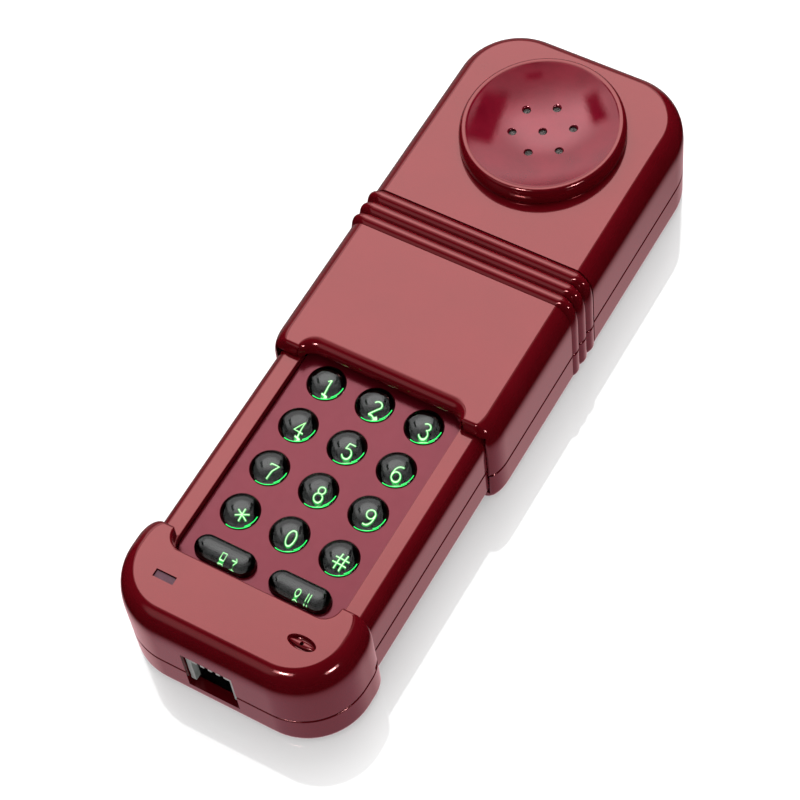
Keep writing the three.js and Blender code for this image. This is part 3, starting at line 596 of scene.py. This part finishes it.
def paint_bowl(piece, material):
    """Gives the faces inside the dish's lip a material of their own, the copy of the burgundy with painted
    sheen.
    """
    piece.data.materials.append(material)
    for face in piece.data.polygons:
        x, y, z = face.center / MM
        radius = hypot(x, (y - DISH_Y) / DISH_STRETCH)
        if radius < DISH_LIP and z > TOP:
            face.material_index = 1


def sound_hole_places():
    """Where the seven sound holes are, and how high the bowl is there."""
    spots = [(0.0, DISH_Y)]
    spots += [(HOLE_RING * cos(t), DISH_Y + HOLE_RING * sin(t)) for t in turns(30, 330, 5)]
    return [(x, y, bowl_height(hypot(x, (y - DISH_Y) / DISH_STRETCH))) for x, y in spots]


def sound_hole_cutters():
    """Seven holes, each with a softened rim of (how much wider, how high over the bowl)."""
    rim = ((0, -6), (0, -0.25), (0.05, -0.1), (0.2, 0.05), (0.55, 0.4), (0.55, 2))
    return [lathe("hole", [(HOLE + wider, z + over) for wider, over in rim], x, y, 24)
            for x, y, z in sound_hole_places()]


def sound_grille():
    """Coarse woven wire a little way down each sound hole, as small raised knots."""
    depth = 0.75
    pitch = 0.48
    knot = ((0.21, -0.1), (0.21, 0.02), (0.15, 0.12), (0.05, 0.16))
    rows = (-1, 0, 1)
    pieces = []
    for x, y, z in sound_hole_places():
        z -= depth
        pieces.append(lathe("grille", [(HOLE - 0.03, z - 0.3), (HOLE - 0.03, z)], x, y, 24))
        for i, j in ((i, j) for i in rows for j in rows):
            profile = [(radius, z + over) for radius, over in knot]
            pieces.append(lathe("knot", profile, x + pitch * i, y + pitch * j, 10))
    return smooth(combine(pieces[0], pieces[1:], "UNION"))


def screw_bores(spot):
    """The two wells for screws in a shell's underside, left and right."""
    x, y = spot
    return [lathe("bore", [(SCREW_BORE, -PAST), (SCREW_BORE, 5)], side * x, y, 40) for side in (-1, 1)]


def sleeve_front():
    """The front shell with its ear dish, sound holes and arch."""
    shell = sleeve_solid("sleeve_front", SEAM[1], BREAK, TOP, EDGE, True)
    combine(shell, [sleeve_hollow(SEAM[1] - PAST, TOP - WALL, HOLLOW_SHOULDER)], "DIFFERENCE")
    combine(shell, [dish_solid()], "UNION")
    cutters = [mouth_cutter(SEAM[1] - PAST, RIM + 0.45), arch_cutter(), *sound_hole_cutters()]
    return smooth(combine(shell, cutters, "DIFFERENCE"))


def sleeve_rear():
    """The rear shell, with a tongue that closes the seam."""
    shell = sleeve_solid("sleeve_rear", 0, REAR_EDGE, SEAM[0], BREAK, False, SEAM_GAP)
    cutters = [
        sleeve_hollow(WALL, SEAM[0] + PAST),
        mouth_cutter(BODY_BOTTOM - 0.5, SEAM[0] + PAST),
        *screw_bores(SLEEVE_SCREWS),
    ]
    return smooth(combine(shell, cutters, "DIFFERENCE"))


# ---------- body

def cap_solid(name, low_z, low_edge, high_z, high_edge, fade=2, tongue=0.0):
    """The end cap's outer skin between two heights."""
    rings = []
    for z, inset, *_ in levels(low_z, low_edge, high_z, high_edge, fade, tongue):
        face = rounded(z, high_z, SHOULDER_EDGE) if high_edge is EDGE else 0.0
        outline = plan(HALF - inset, END + inset, SHOULDER - face, CAP_CORNER - inset, SHOULDER_CORNER)
        rings.append(raised(outline, z))
    return loft(name, rings)


def bar_solid(name, half, low_y, high_y, low_z, low_edge, high_z, high_edge, fade=2, tongue=0.0):
    """A straight bar along Y with rounded long edges."""
    rings = []
    for z, inset, *_ in levels(low_z, low_edge, high_z, high_edge, fade, tongue):
        x = half - inset
        rings.append(raised([(x, low_y), (x, high_y), (-x, high_y), (-x, low_y)], z))
    return loft(name, rings)


def notch_cutter():
    """The notch in the cap, with a small rounded edge where it meets the front face."""
    edge = 0.5
    flare = 0.9
    rows = [(RIM, 0.0)]
    rows += [(TOP - edge + edge * sin(t), edge * (1 - cos(t))) for t in turns(0, 90, 6)]
    rows.append((TOP + 1, edge))
    rings = []
    for z, grow in rows:
        half = NOTCH_HALF + grow
        start = SHOULDER - flare
        outline = plan(half, NOTCH - grow, start, NOTCH_CORNER, 0)
        right = [p for p in outline if p[0] > 0 and p[1] < start]
        left = [p for p in outline if p[0] < 0 and p[1] < start]
        ends = [(half + flare * (1 - cos(t)), start + flare * sin(t)) for t in turns(0, 90, 8)]
        ends.append((half + flare, SHOULDER + 3))
        mirror = [(-x, y) for x, y in reversed(ends)]
        rings.append(raised(right + ends + mirror + left, z))
    return loft("notch", rings)


def recess_cutter():
    """The recess that holds the keypad plate, with a rounded upper edge."""
    rows = [(PANEL - 1.4, 0.0), (RIM - 0.25, 0.0), (RIM - 0.08, 0.06), (RIM, 0.25), (RIM + 0.5, 0.25)]
    return loft("recess", [raised(plan(PANEL_HALF + grow, NOTCH, PANEL_END + 0.3, NOTCH_CORNER, 0), z)
                           for z, grow in rows])


def microphone_oval(half_length, half_width, z):
    """An ellipse round the microphone's place."""
    x, y = MICROPHONE
    return [(x + half_length * cos(t), y + half_width * sin(t), z)
            for t in (2 * pi * i / 56 for i in range(56))]


def microphone_dimple():
    """The oval dimple over the microphone, as (scale, height) pairs."""
    rows = [(0.7, -1.3), (0.86, -1.1), (0.95, -0.7), (1.0, -0.1), (1.04, 0.0), (1.04, 1.0)]
    return loft("dimple", [microphone_oval(3.4 * k, 1.65 * k, TOP + z) for k, z in rows])


def microphone_ridge():
    """The ridge along the dimple that carries the pinhole."""
    foot = -0.9
    rows = [(1.0, -1.6), (1.0, foot)]
    rows += [(cos(t), foot + 0.55 * sin(t)) for t in turns(15, 75, 4)]
    return loft("ridge", [microphone_oval(3.3 * k ** 0.4, 0.8 * k, TOP + z) for k, z in rows])


def indicator_cutter():
    """The window over the indicator lamp."""
    x, y = INDICATOR
    return slab("window", x - 2.65, x + 2.65, y - 1.0, y + 1.0, TOP - 4, TOP + PAST)


def jack_cutter(low_z, high_z):
    """The opening for the line jack in the cap's end."""
    half = JACK_HALF + 0.3
    return slab("jack_cut", JACK_MIDDLE - half, JACK_MIDDLE + half, END - PAST, END + 4, low_z, high_z)


def body_front():
    """Keypad frame, tail and end cap in one moulding."""
    shell = cap_solid("body_front", SEAM[1], BREAK, TOP, EDGE, 4)
    keypad = bar_solid("keypad", BODY_HALF, SHOULDER - 6, KEYPAD_END, BODY_SEAM[1], BREAK, RIM, RIM_EDGE, 4)
    tail = bar_solid("tail", TAIL_HALF, KEYPAD_END - OVERLAP, TAIL_END, BODY_SEAM[1], BREAK,
                     TAIL_TOP, (1, 1))
    combine(shell, [keypad, tail], "UNION")
    cap_room = plan(HALF - CAP_WALL, END + CAP_WALL, NOTCH - 2.2, CAP_CORNER - CAP_WALL, 0)
    low = SEAM[1] - PAST
    room_half = BODY_HALF - CAP_WALL
    tail_half = TAIL_HALF - CAP_WALL
    cutters = [
        slab("step", -BEYOND, BEYOND, SHOULDER - 3, SHOULDER + 3, SEAM[1] - 2, BODY_SEAM[1]),
        prism("cap_room", cap_room, low, TOP - CAP_WALL),
        slab("body_room", -room_half, room_half, END + 8, KEYPAD_END - 2, low, PANEL - 3.2),
        slab("tail_room", -tail_half, tail_half, KEYPAD_END - 3, TAIL_END - 2, low, TAIL_TOP - WALL),
        notch_cutter(),
        recess_cutter(),
        indicator_cutter(),
        jack_cutter(low, jack_high[2] + 0.3),
        microphone_dimple(),
        *key_hole_cutters(0.35, PANEL - 4, PANEL - 1),
    ]
    combine(shell, cutters, "DIFFERENCE")
    combine(shell, [microphone_ridge()], "UNION")
    pinhole = lathe("pinhole", [(0.45, TOP - 4), (0.45, TOP + PAST)], *MICROPHONE, 20)
    return smooth(combine(shell, [pinhole], "DIFFERENCE"))


def ringer_slots():
    """Three round-ended slots in the underside, the middle one the longest."""
    pitch = 4
    radius = 0.7
    slots = []
    for row in (-1, 0, 1):
        y = RINGER_Y + pitch * row
        half = 6 - 1.5 * abs(row)
        slots.append(prism("slot", plan(half, y - radius, y + radius, radius, radius), 1, 6))
    return slots


def body_rear():
    """Floor of the body and of the cap, with the shelf below the line jack."""
    edge = (2.4, 2.4)
    shell = cap_solid("body_rear", 0, REAR_EDGE, SEAM[0], BREAK, 2, SEAM_GAP)
    floor = bar_solid("floor", BODY_HALF, SHOULDER - OVERLAP, FLOOR_END, BODY_BOTTOM, edge,
                      BODY_SEAM[0], BREAK, 2, SEAM_GAP)
    tail = bar_solid("tail_floor", TAIL_HALF, FLOOR_END - OVERLAP, TAIL_END, BODY_BOTTOM, edge,
                     BODY_SEAM[0], BREAK)
    combine(shell, [floor, tail], "UNION")
    cap_room = plan(HALF - CAP_WALL, END + CAP_WALL, SHOULDER - CAP_WALL, CAP_CORNER - CAP_WALL, 0)
    room_half = BODY_HALF - CAP_WALL
    cutters = [
        prism("cap_room", cap_room, CAP_WALL, BEYOND),
        slab("body_room", -room_half, room_half, SHOULDER - 8, TAIL_END - 2, BODY_BOTTOM + CAP_WALL, BEYOND),
    ]
    combine(shell, cutters, "DIFFERENCE")
    shelf_top = jack_low[2] - 1.7
    shelf = slab("shelf", jack_low[0] - 1.5, jack_high[0] + 1.5, END + 1, END + SHELF, 1, shelf_top)
    combine(shell, [shelf], "UNION")
    cutters = [
        jack_cutter(shelf_top, 20),
        *screw_bores(CAP_SCREWS),
        *ringer_slots(),
        slab("selector_slot", *SELECTOR_SLOT, -PAST, 3),
    ]
    return smooth(combine(shell, cutters, "DIFFERENCE"))


# These black walls are painted shade in the hollows round the line jack.
def lining(name, half, front, back, low, high, skin, is_tray):
    """Thin walls round the line jack, open towards the front and on one side.

    A tray is open at the top, and a hood at the bottom.
    """
    outside = slab(name, JACK_MIDDLE - half, JACK_MIDDLE + half, front, back, low, high)
    room_low = low + skin if is_tray else low - PAST
    room_high = high + PAST if is_tray else high - skin
    room = slab("room", JACK_MIDDLE - half + skin, JACK_MIDDLE + half - skin, front - PAST, back - skin,
                room_low, room_high)
    return smooth(combine(outside, [room], "DIFFERENCE"))


def jack_shade_tray():
    """A black tray behind the shelf, under the line jack's port: painted shade for the chamber there."""
    return lining("jack_shade_tray", half=JACK_HALF + 1.2, front=END + SHELF + 0.05, back=END + 15.5,
                  low=CAP_WALL + 0.1, high=jack_low[2] - 0.1, skin=0.2, is_tray=True)


def port_shade_walls():
    """Black walls inside the port, as painted shade for its hollow, so that only its face is grey."""
    return lining("port_shade_walls", half=JACK_HALF - 1.35, front=jack_low[1] + 1.6, back=jack_low[1] + 12.8,
                  low=jack_low[2] - 0.05, high=jack_high[2] - 3.7, skin=0.15, is_tray=False)


# ---------- keypad

ROUND_KEYS = ["1", "2", "3", "4", "5", "6", "7", "8", "9", "star", "0", "hash"]
OVAL_KEYS = ["oval_left", "oval_right"]


def key_centre(name):
    """Where a key of the CAD frame stands."""
    low, high = span("key_" + name)
    return (low[0] + high[0]) / 2, (low[1] + high[1]) / 2


def oval_ring(x, y, radius, z, steps=24):
    """An oval key's outline at a height: two half circles with a straight part between."""
    ring = []
    for side, start in ((1, -90), (-1, 90)):
        for t in turns(start, start + 180, steps):
            ring.append((x + side * OVAL_STRAIGHT + radius * cos(t), y + radius * sin(t), z))
    return ring


def key_hole_cutters(gap, low_z, high_z):
    """Holes for all the keys, each with a softened upper rim."""
    rows = [(0.0, low_z), (0.0, high_z - 0.08), (0.08, high_z), (0.08, high_z + 0.5)]
    cutters = []
    for name in ROUND_KEYS:
        x, y = key_centre(name)
        cutters.append(lathe("hole", [(KEY_RADIUS + gap + grow, z) for grow, z in rows], x, y, 64))
    for name in OVAL_KEYS:
        x, y = key_centre(name)
        cutters.append(loft("hole", [oval_ring(x, y, OVAL_RADIUS + gap + grow, z) for grow, z in rows]))
    return cutters


def faceplate():
    """The keypad plate, with a broken upper edge."""
    rows = [(PANEL - 1.2, 0.0), (PANEL - 0.08, 0.0), (PANEL, 0.08)]
    plate = loft("faceplate", [
        raised(plan(panel_high[0] - inset, panel_low[1] + inset, PANEL_END, NOTCH_CORNER, 0), z)
        for z, inset in rows])
    return smooth(combine(plate, key_hole_cutters(0.12, PANEL - 2, PANEL), "DIFFERENCE"))


def dome_profile(radius, wall_top, top):
    """(radius, z) up a cap's straight wall and over its pebble-shaped crown."""
    low_z = LAMP_PLANE + 0.18
    rows = [(radius - 0.15, low_z), (radius, low_z + 0.15)]
    rows += [(radius * cos(t) ** 0.9, wall_top + (top - wall_top) * sin(t))
             for t in turns(0, 90, 32)]
    rows[-1] = (radius * 0.01, top)
    return rows


def base_profile(flange, stem):
    """(radius, z) up the black part of a key: a flange, then a stem that carries the lamp film."""
    low, high = KEY_FLANGE
    return [(flange, low), (flange, high), (stem, high), (stem, LAMP_PLANE)]


def round_key(name):
    """The smoked cap and the black base of a round key."""
    x, y = key_centre(name)
    dome = dome_profile(KEY_RADIUS + CAP_OVERHANG, PANEL - 0.1, KEY_HEIGHT)
    cap = lathe("cap_" + name, dome, x, y, 72)
    base = lathe("base_" + name, base_profile(5.2, KEY_RADIUS), x, y, 48)
    return smooth(cap, 40), smooth(base)


def oval_key(name):
    """The smoked cap and the black base of an oval key."""
    x, y = key_centre(name)
    dome = dome_profile(OVAL_RADIUS + CAP_OVERHANG, PANEL + 1.2, OVAL_HEIGHT)
    cap = loft("cap_" + name, [oval_ring(x, y, r, z) for r, z in dome])
    base = loft("base_" + name, [oval_ring(x, y, r, z) for r, z in base_profile(3.2, 2.85)])
    return smooth(cap, 40), smooth(base)


# Each sign is a set of pen strokes in a box about one unit high, with its middle at the origin.
STROKES = {
    "1": [[(-0.16, 0.32), (0.02, 0.48), (0.02, -0.46)], [(-0.14, -0.48), (0.18, -0.48)]],
    "2": [arc(0, 0.24, 0.24, 0.24, 165, -30) + [(-0.24, -0.46)],
          [(-0.24, -0.46), (-0.06, -0.44), (0.12, -0.5), (0.26, -0.38)]],
    "3": [arc(0, 0.25, 0.22, 0.22, 150, -80), arc(0, -0.22, 0.25, 0.27, 80, -155)],
    "4": [[(0.1, -0.48), (0.1, 0.48), (-0.28, -0.18), (0.28, -0.18)], [(-0.06, -0.48), (0.26, -0.48)]],
    "5": [[(0.24, 0.46), (-0.14, 0.46), (-0.2, 0.06)] + arc(-0.02, -0.17, 0.27, 0.3, 115, -150)],
    "6": [arc(0.1, 0.0, 0.36, 0.48, 75, 180) + arc(0, -0.2, 0.26, 0.28, 180, 540, 24)],
    "7": [[(-0.24, 0.34), (-0.22, 0.46), (0.26, 0.46), (0.04, 0.05), (-0.04, -0.48)]],
    "8": [arc(0, 0.24, 0.2, 0.23, 0, 360, 22), arc(0, -0.23, 0.25, 0.26, 0, 360, 22)],
    "9": [arc(-0.1, 0.0, 0.36, 0.48, -105, 0) + arc(0, 0.2, 0.26, 0.28, 0, 360, 24)],
    "0": [arc(0, 0, 0.25, 0.48, 0, 360, 30)],
    "star": [[(0, 0), (0.42 * cos(t), 0.42 * sin(t))] for t in turns(30, 330, 5)],
    "hash": [[(-0.2, -0.5), (-0.1, 0.5)], [(0.12, -0.5), (0.22, 0.5)],
             [(-0.42, 0.17), (0.44, 0.17)], [(-0.46, -0.17), (0.4, -0.17)]],
    "oval_left": [[(-1.4, -0.4), (-0.6, -0.4), (-0.6, 0.4), (-1.4, 0.4), (-1.4, -0.4)],
                  [(0.7, 0.0), (1.6, 0.0)], [(1.2, 0.4), (1.6, 0.0), (1.2, -0.4)]],
    "oval_right": [arc(-1.0, 0, 0.42, 0.42, 0, 360, 20), [(0.8, -0.45), (0.8, 0.45)],
                   [(1.3, -0.45), (1.3, 0.45)]],
}
# Height of a sign, its shift from the key's middle, and the widths of its core and its border.
ROUND_SIGN = (3.3, (0.05, 0.1), 0.17, 0.46)
OVAL_SIGN = (1.35, (0.45, 0.6), 0.10, 0.30)
# Painted glints: lines of emission near a round key's foot, only on the side facing the cap: radius, ends in
# degrees, steps, width, height over the plate.
PAINTED_GLINT_LINES = {
    "glint_arc_": (4.58, (-104, -28), 30, 0.15, 0.36),
    "inner_glint_arc_": (4.38, (-46, 4), 24, 0.20, 0.64),
}


def ribbon_mesh(name, strokes, width, z):
    """Pen strokes with mitred joints, as thin closed bars. Each bar's top lies a little over the last."""
    thickness = 0.05
    stagger = 0.01
    points, faces = [], []
    for level, stroke in enumerate(strokes):
        count = len(stroke)
        start = len(points)
        top = z + stagger * level
        for i, (x, y) in enumerate(stroke):
            ax, ay = stroke[max(i - 1, 0)]
            bx, by = stroke[min(i + 1, count - 1)]
            run = hypot(bx - ax, by - ay) or 1.0
            nx, ny = -(by - ay) / run * width / 2, (bx - ax) / run * width / 2
            points += [(x + nx, y + ny, top), (x - nx, y - ny, top),
                       (x - nx, y - ny, top - thickness), (x + nx, y + ny, top - thickness)]
        for i in range(count - 1):
            k = start + 4 * i
            for a, b in ((0, 1), (1, 2), (2, 3), (3, 0)):
                faces.append((k + a, k + b, k + 4 + b, k + 4 + a))
        last = start + 4 * (count - 1)
        faces.append((start + 3, start + 2, start + 1, start))
        faces.append((last, last + 1, last + 2, last + 3))
    return make(name, points, faces)


def lit_sign(name, size, shift, core_width, glow_width):
    """The lit sign on a key's lamp film: a pale core inside a green border."""
    x, y = key_centre(name)
    placed = [[(x + shift[0] + size * px, y + shift[1] + size * py) for px, py in stroke]
              for stroke in STROKES[name]]
    core = ribbon_mesh("digit_" + name, placed, core_width, LAMP_PLANE + 0.09)
    glow = ribbon_mesh("glow_" + name, placed, glow_width, LAMP_PLANE + 0.04)
    return core, glow


def painted_glint_lines(name):
    """Thin lines of emission round the foot of a key, only on the side facing the cap: painted glints of the
    key's lamp on the cap's lower rim.
    """
    lines = []
    for prefix, (radius, ends, steps, width, height) in PAINTED_GLINT_LINES.items():
        path = arc(*key_centre(name), radius, radius, *ends, steps)
        lines.append(ribbon_mesh(prefix + name, [path], width, PANEL + height))
    return lines


def build_keys(smoked, black, core_light, glow_light, glint_light):
    """Every key with its cap, base, sign and painted glint lines, all riding the key's body."""
    for name in ROUND_KEYS + OVAL_KEYS:
        body = "key_" + name
        is_round = name in ROUND_KEYS
        cap, base = round_key(name) if is_round else oval_key(name)
        place(cap, smoked, body, "smoked_key", body)
        place(base, black, body, "smoked_key")
        core, glow = lit_sign(name, *(ROUND_SIGN if is_round else OVAL_SIGN))
        place(core, core_light, body, "smoked_key")
        place(glow, glow_light, body, "smoked_key")
        for line in painted_glint_lines(name) if is_round else []:
            place(line, glint_light, body, "smoked_key")


# ---------- stage

# The studio as the phone's surfaces mirror it. The softbox lies in the direction MIRROR, from which
# the flat faces are lit. SIDEWAYS and OVERHEAD are the directions across and up the softbox.
MIRROR = Vector((-0.3205, 0.4223, 0.8479))
SIDEWAYS = Vector((0.7966, 0.6045, 0.0))
AWAY = Vector((-0.6045, 0.7966, 0.0))
OVERHEAD = Vector((0.5126, -0.6754, 0.5301))
SOFTBOX = 3.6                    # brightness of the softbox
CAP_LIGHT = Vector((-0.357, -0.792, 0.495))  # a faint soft light in front of the cap
CAP_LIGHT_LEVEL = 0.55
GROUND_NEAR = (0.58, 0.31, 0.38)  # light from the table on the cap's side of the phone
GROUND_FAR = (0.92, 0.55, 0.59)  # and on its ear side
# Brightness of the softbox and its backdrop, by degrees above the horizon behind the phone.
BACKDROP = ((-50, 0.0), (-35, 0.15), (-5, 0.14), (2, 0.08), (14, 0.12), (24, 0.9), (60, 1.0),
            (72, 0.5), (85, 0.28), (95, 0.0))
# Each strobe glints once on the shells: its direction from the phone and its width in metres.
STROBES = {"front_strobe": ((0.03, -0.78, 0.63), 0.30), "side_strobe": ((0.90, -0.33, 0.22), 0.27)}
STROBE_PARTS = {"core": (0.7, 60), "halo": (1.5, 5)}  # scale and brightness
FLOOR_HALF = 3000
FLOOR_Z = -0.05


def add_area(name, direction, distance, size, radiance):
    """A rectangular softbox that faces the phone. Radiance is what a mirror would show."""
    data = bpy.data.lights.new(name, "AREA")
    data.shape = "RECTANGLE"
    data.size, data.size_y = size
    data.energy = radiance * pi * size[0] * size[1]
    light = add_object(name, data)
    heading = Vector(direction).normalized()
    light.location = Vector((0, 0, 0.02)) + heading * distance
    light.rotation_mode = "QUATERNION"
    light.rotation_quaternion = heading.to_track_quat("Z", "Y")
    return light


def floor_material():
    """Pale glossy acrylic: it mirrors the phone faintly and hardly shows its shadow."""
    material = new_material("floor", Roughness=0.04, Specular_IOR_Level=0.9,
                            Emission_Color=(1, 1, 1, 1), Emission_Strength=0.26)
    vary(material, "Base Color", 3, 0.64, 0.66)
    return material


class Sky:
    """Builds the world's node tree from small sums on the ray's direction."""

    def __init__(self, tree):
        self.tree = tree
        self.direction = self.node("TexCoord").outputs["Generated"]

    def node(self, kind):
        return self.tree.nodes.new("ShaderNode" + kind)

    def link(self, source, socket):
        if hasattr(source, "is_output"):
            self.tree.links.new(source, socket)
        else:
            socket.default_value = source

    def maths(self, operation, a, b=0.0):
        made = self.node("Math")
        made.operation = operation
        self.link(a, made.inputs[0])
        self.link(b, made.inputs[1])
        return made.outputs[0]

    def along(self, axis):
        """How far the ray points along an axis."""
        made = self.node("VectorMath")
        made.operation = "DOT_PRODUCT"
        self.tree.links.new(self.direction, made.inputs[0])
        made.inputs[1].default_value = axis
        return made.outputs["Value"]

    def step(self, value, start, end):
        """Rises smoothly from 0 to 1 between start and end, or falls if end is the lower."""
        made = self.node("MapRange")
        made.interpolation_type = "SMOOTHSTEP"
        self.link(value, made.inputs["Value"])
        made.inputs["From Min"].default_value = min(start, end)
        made.inputs["From Max"].default_value = max(start, end)
        made.inputs["To Min"].default_value = 0 if start < end else 1
        made.inputs["To Max"].default_value = 1 if start < end else 0
        return made.outputs["Result"]

    def band(self, value, low, high, soft):
        """1 between low and high, with soft edges."""
        return self.maths("MULTIPLY", self.step(value, low - soft, low + soft),
                          self.step(value, high + soft, high - soft))

    def patch(self, first, second):
        """1 where both values lie in their bands, each given as (value, low, high, softness)."""
        return self.maths("MULTIPLY", self.band(*first), self.band(*second))

    def ramp(self, value, stops):
        """Levels of grey by angle in degrees."""
        made = self.node("ValToRGB")
        elements = made.color_ramp.elements
        while len(elements) < len(stops):
            elements.new(0.5)
        for element, (degrees, level) in zip(elements, stops):
            element.position = degrees / 360 + 0.5
            element.color = as_colour(level)
        self.tree.links.new(value, made.inputs["Fac"])
        return made.outputs["Color"]

    def mix(self, factor, a, b, blend="MIX"):
        made = self.node("Mix")
        made.data_type = "RGBA"
        made.blend_type = blend
        self.link(factor, made.inputs["Factor"])
        self.link(a, made.inputs["A"])
        self.link(b, made.inputs["B"])
        return made.outputs["Result"]


def softbox_brightness(sky):
    """A wide softbox that runs down into a curved backdrop, with three dark gaps in it.

    The gaps lie left and right of the mirror direction and over it. Places on the softbox are
    slopes away from the mirror direction, across it and up it.
    """
    sideways = sky.along(SIDEWAYS)
    ahead = sky.maths("MAXIMUM", sky.along(MIRROR), 0.2)
    across = sky.maths("DIVIDE", sideways, ahead)
    over = sky.maths("DIVIDE", sky.along(OVERHEAD), ahead)
    rise = sky.maths("ARCTAN2", sky.along((0, 0, 1)), sky.along(AWAY))
    turn = sky.maths("ADD", sky.maths("DIVIDE", rise, 2 * pi), 0.5)
    offset = sky.maths("SQRT", sky.maths("ADD", sky.maths("POWER", across, 2.0),
                                         sky.maths("POWER", over, 2.0)))
    middle = sky.mix(sky.step(offset, 0.20, 0.44), as_colour(1.0), as_colour(0.5))
    profile = sky.mix(1.0, sky.ramp(turn, BACKDROP), middle, "MULTIPLY")
    leaning = sky.maths("ADD", across, sky.maths("MULTIPLY", over, 0.25))
    left_gap = sky.patch((leaning, 0.38, 0.60, 0.03), (over, -0.26, 0.32, 0.07))
    right_gap = sky.patch((across, -0.37, -0.26, 0.03), (over, -0.20, 0.13, 0.07))
    top_gap = sky.patch((across, 0.02, 0.16, 0.03), (over, 0.43, 0.50, 0.03))
    gaps = sky.maths("ADD", sky.maths("ADD", left_gap, right_gap), top_gap)
    open_part = sky.maths("SUBTRACT", 1.0, sky.maths("MINIMUM", gaps, 1.0))
    shape = sky.maths("MULTIPLY", sky.band(sideways, -0.52, 0.52, 0.08), open_part)
    return sky.mix(1.0, profile, sky.mix(shape, as_colour(0.0), as_colour(1.0)), "MULTIPLY")


def add_world():
    """White for the eye and for soft fill. Mirrored rays see the softbox, the table and the dark."""
    world = bpy.data.worlds.new("studio")
    world.use_nodes = True
    sky = Sky(world.node_tree)
    rays = world.node_tree.nodes.new("ShaderNodeLightPath").outputs
    box = sky.mix(1.0, softbox_brightness(sky), as_colour(SOFTBOX), "MULTIPLY")
    away = sky.step(sky.along(AWAY), -0.2, 0.2)
    table = sky.mix(away, as_colour(GROUND_NEAR), as_colour(GROUND_FAR))
    downwards = sky.step(sky.along((0, 0, 1)), -0.685, -0.86)
    mirrored = sky.mix(downwards, box, table)
    cap_light = sky.step(sky.along(CAP_LIGHT), 0.93, 1.0)
    mirrored = sky.mix(cap_light, mirrored, as_colour(CAP_LIGHT_LEVEL), "ADD")
    mirrored = sky.mix(rays["Is Transmission Ray"], mirrored, as_colour(0.02))
    plain = sky.maths("MAXIMUM", rays["Is Camera Ray"], rays["Is Diffuse Ray"])
    seen = sky.mix(plain, mirrored, as_colour(1.0))
    world.node_tree.links.new(seen, world.node_tree.nodes["Background"].inputs["Color"])
    bpy.context.scene.world = world


def add_floor():
    """A pale floor just under the phone. Its mirror image in the shells comes from the world."""
    corners = [(-1, -1), (1, -1), (1, 1), (-1, 1)]
    floor = make("floor", [(FLOOR_HALF * x, FLOOR_HALF * y, FLOOR_Z) for x, y in corners], [(0, 1, 2, 3)])
    floor.data.materials.append(floor_material())
    floor.visible_glossy = False


def add_strobes(shell_material):
    """Small hard lights that glint on the pieces of one material and light nothing else."""
    shells = bpy.data.collections.new("shells")
    for piece in bpy.context.scene.objects:
        if piece.type == "MESH" and piece.data.materials and piece.data.materials[0] == shell_material:
            shells.objects.link(piece)
    for name, (direction, width) in STROBES.items():
        for part, (scale, radiance) in STROBE_PARTS.items():
            size = (scale * width, scale * width / 2)
            strobe = add_area(f"{name}_{part}", direction, 1.2, size, radiance)
            strobe.visible_diffuse = False
            strobe.light_linking.receiver_collection = shells


def add_stage(shell_material):
    """Floor, studio and lights."""
    add_floor()
    add_world()
    bpy.context.scene.view_settings.view_transform = "Standard"
    softbox = add_area("overhead_softbox", MIRROR, distance=0.9, size=(0.75, 0.9), radiance=3.2)
    softbox.visible_glossy = False
    add_strobes(shell_material)


# ---------- assembly

# Darkest and lightest colour, and roughness.
METALS = {
    "steel": ((0.50, 0.50, 0.52), (0.62, 0.62, 0.64), 0.3),
    "brass": ((0.60, 0.42, 0.14), (0.70, 0.50, 0.18), 0.25),
}
MOULDINGS = {
    "silicone": ((0.6, 0.6, 0.56), (0.7, 0.7, 0.66), 0.7),
    "circuit_board": ((0.015, 0.09, 0.03), (0.02, 0.12, 0.04), 0.4),
    "black_plastic": (0.012, 0.02, 0.4),
    "led": ((0.08, 0.7, 0.16), (0.1, 0.85, 0.2), 0.2),
    "foam": (0.02, 0.035, 0.9),
}


def dress_frame():
    """Materials for the CAD nodes that stay as they are."""
    looks = {"grey_jack": jack_material(), "smoked_lens": lens_material()}
    for name, look in METALS.items():
        looks[name] = metal_material(name, *look)
    for name, look in MOULDINGS.items():
        looks[name] = moulded_material(name, *look)
    for part in frame["record"]["subparts"]:
        look = looks.get(part["material_slot"])
        if look:
            for slot in frame["nodes"][part["node"]].material_slots:
                slot.material = look


def build():
    """The whole scene: camera, new surfaces, materials and studio."""
    add_camera()
    burgundy = burgundy_material()
    front = place(sleeve_front(), burgundy, "sleeve", "burgundy", "sleeve_front_shell")
    # The bowl gets the copy of the burgundy with painted sheen.
    paint_bowl(front, bowl_sheen_material())
    place(sleeve_rear(), burgundy, "sleeve", "burgundy", "sleeve_rear_shell")
    place(body_front(), burgundy, "body", "burgundy", "body_front_shell")
    place(body_rear(), burgundy, "body", "burgundy", "body_rear_shell")
    place(faceplate(), panel_material(), "body", "burgundy_panel", "keypad_faceplate")
    # The same black lines the line jack's hollows, as painted shade.
    dark = black_base_and_shade_material()
    place(jack_shade_tray(), dark, "body", "black_plastic")
    place(port_shade_walls(), dark, "body", "black_plastic")
    place(sound_grille(), grille_material(), "sleeve", "steel")
    # The last light below is emission for the painted glints round the keys' feet.
    build_keys(smoked_material(), dark,
               lit_material("digit_core", (0.70, 1.0, 0.62), 8.0),
               lit_material("digit_glow", (0.004, 1.0, 0.13), 1.9),
               lit_material("key_ring_painted_glint", (0.002, 0.72, 0.10), 1.1))
    dress_frame()
    add_stage(burgundy)


build()
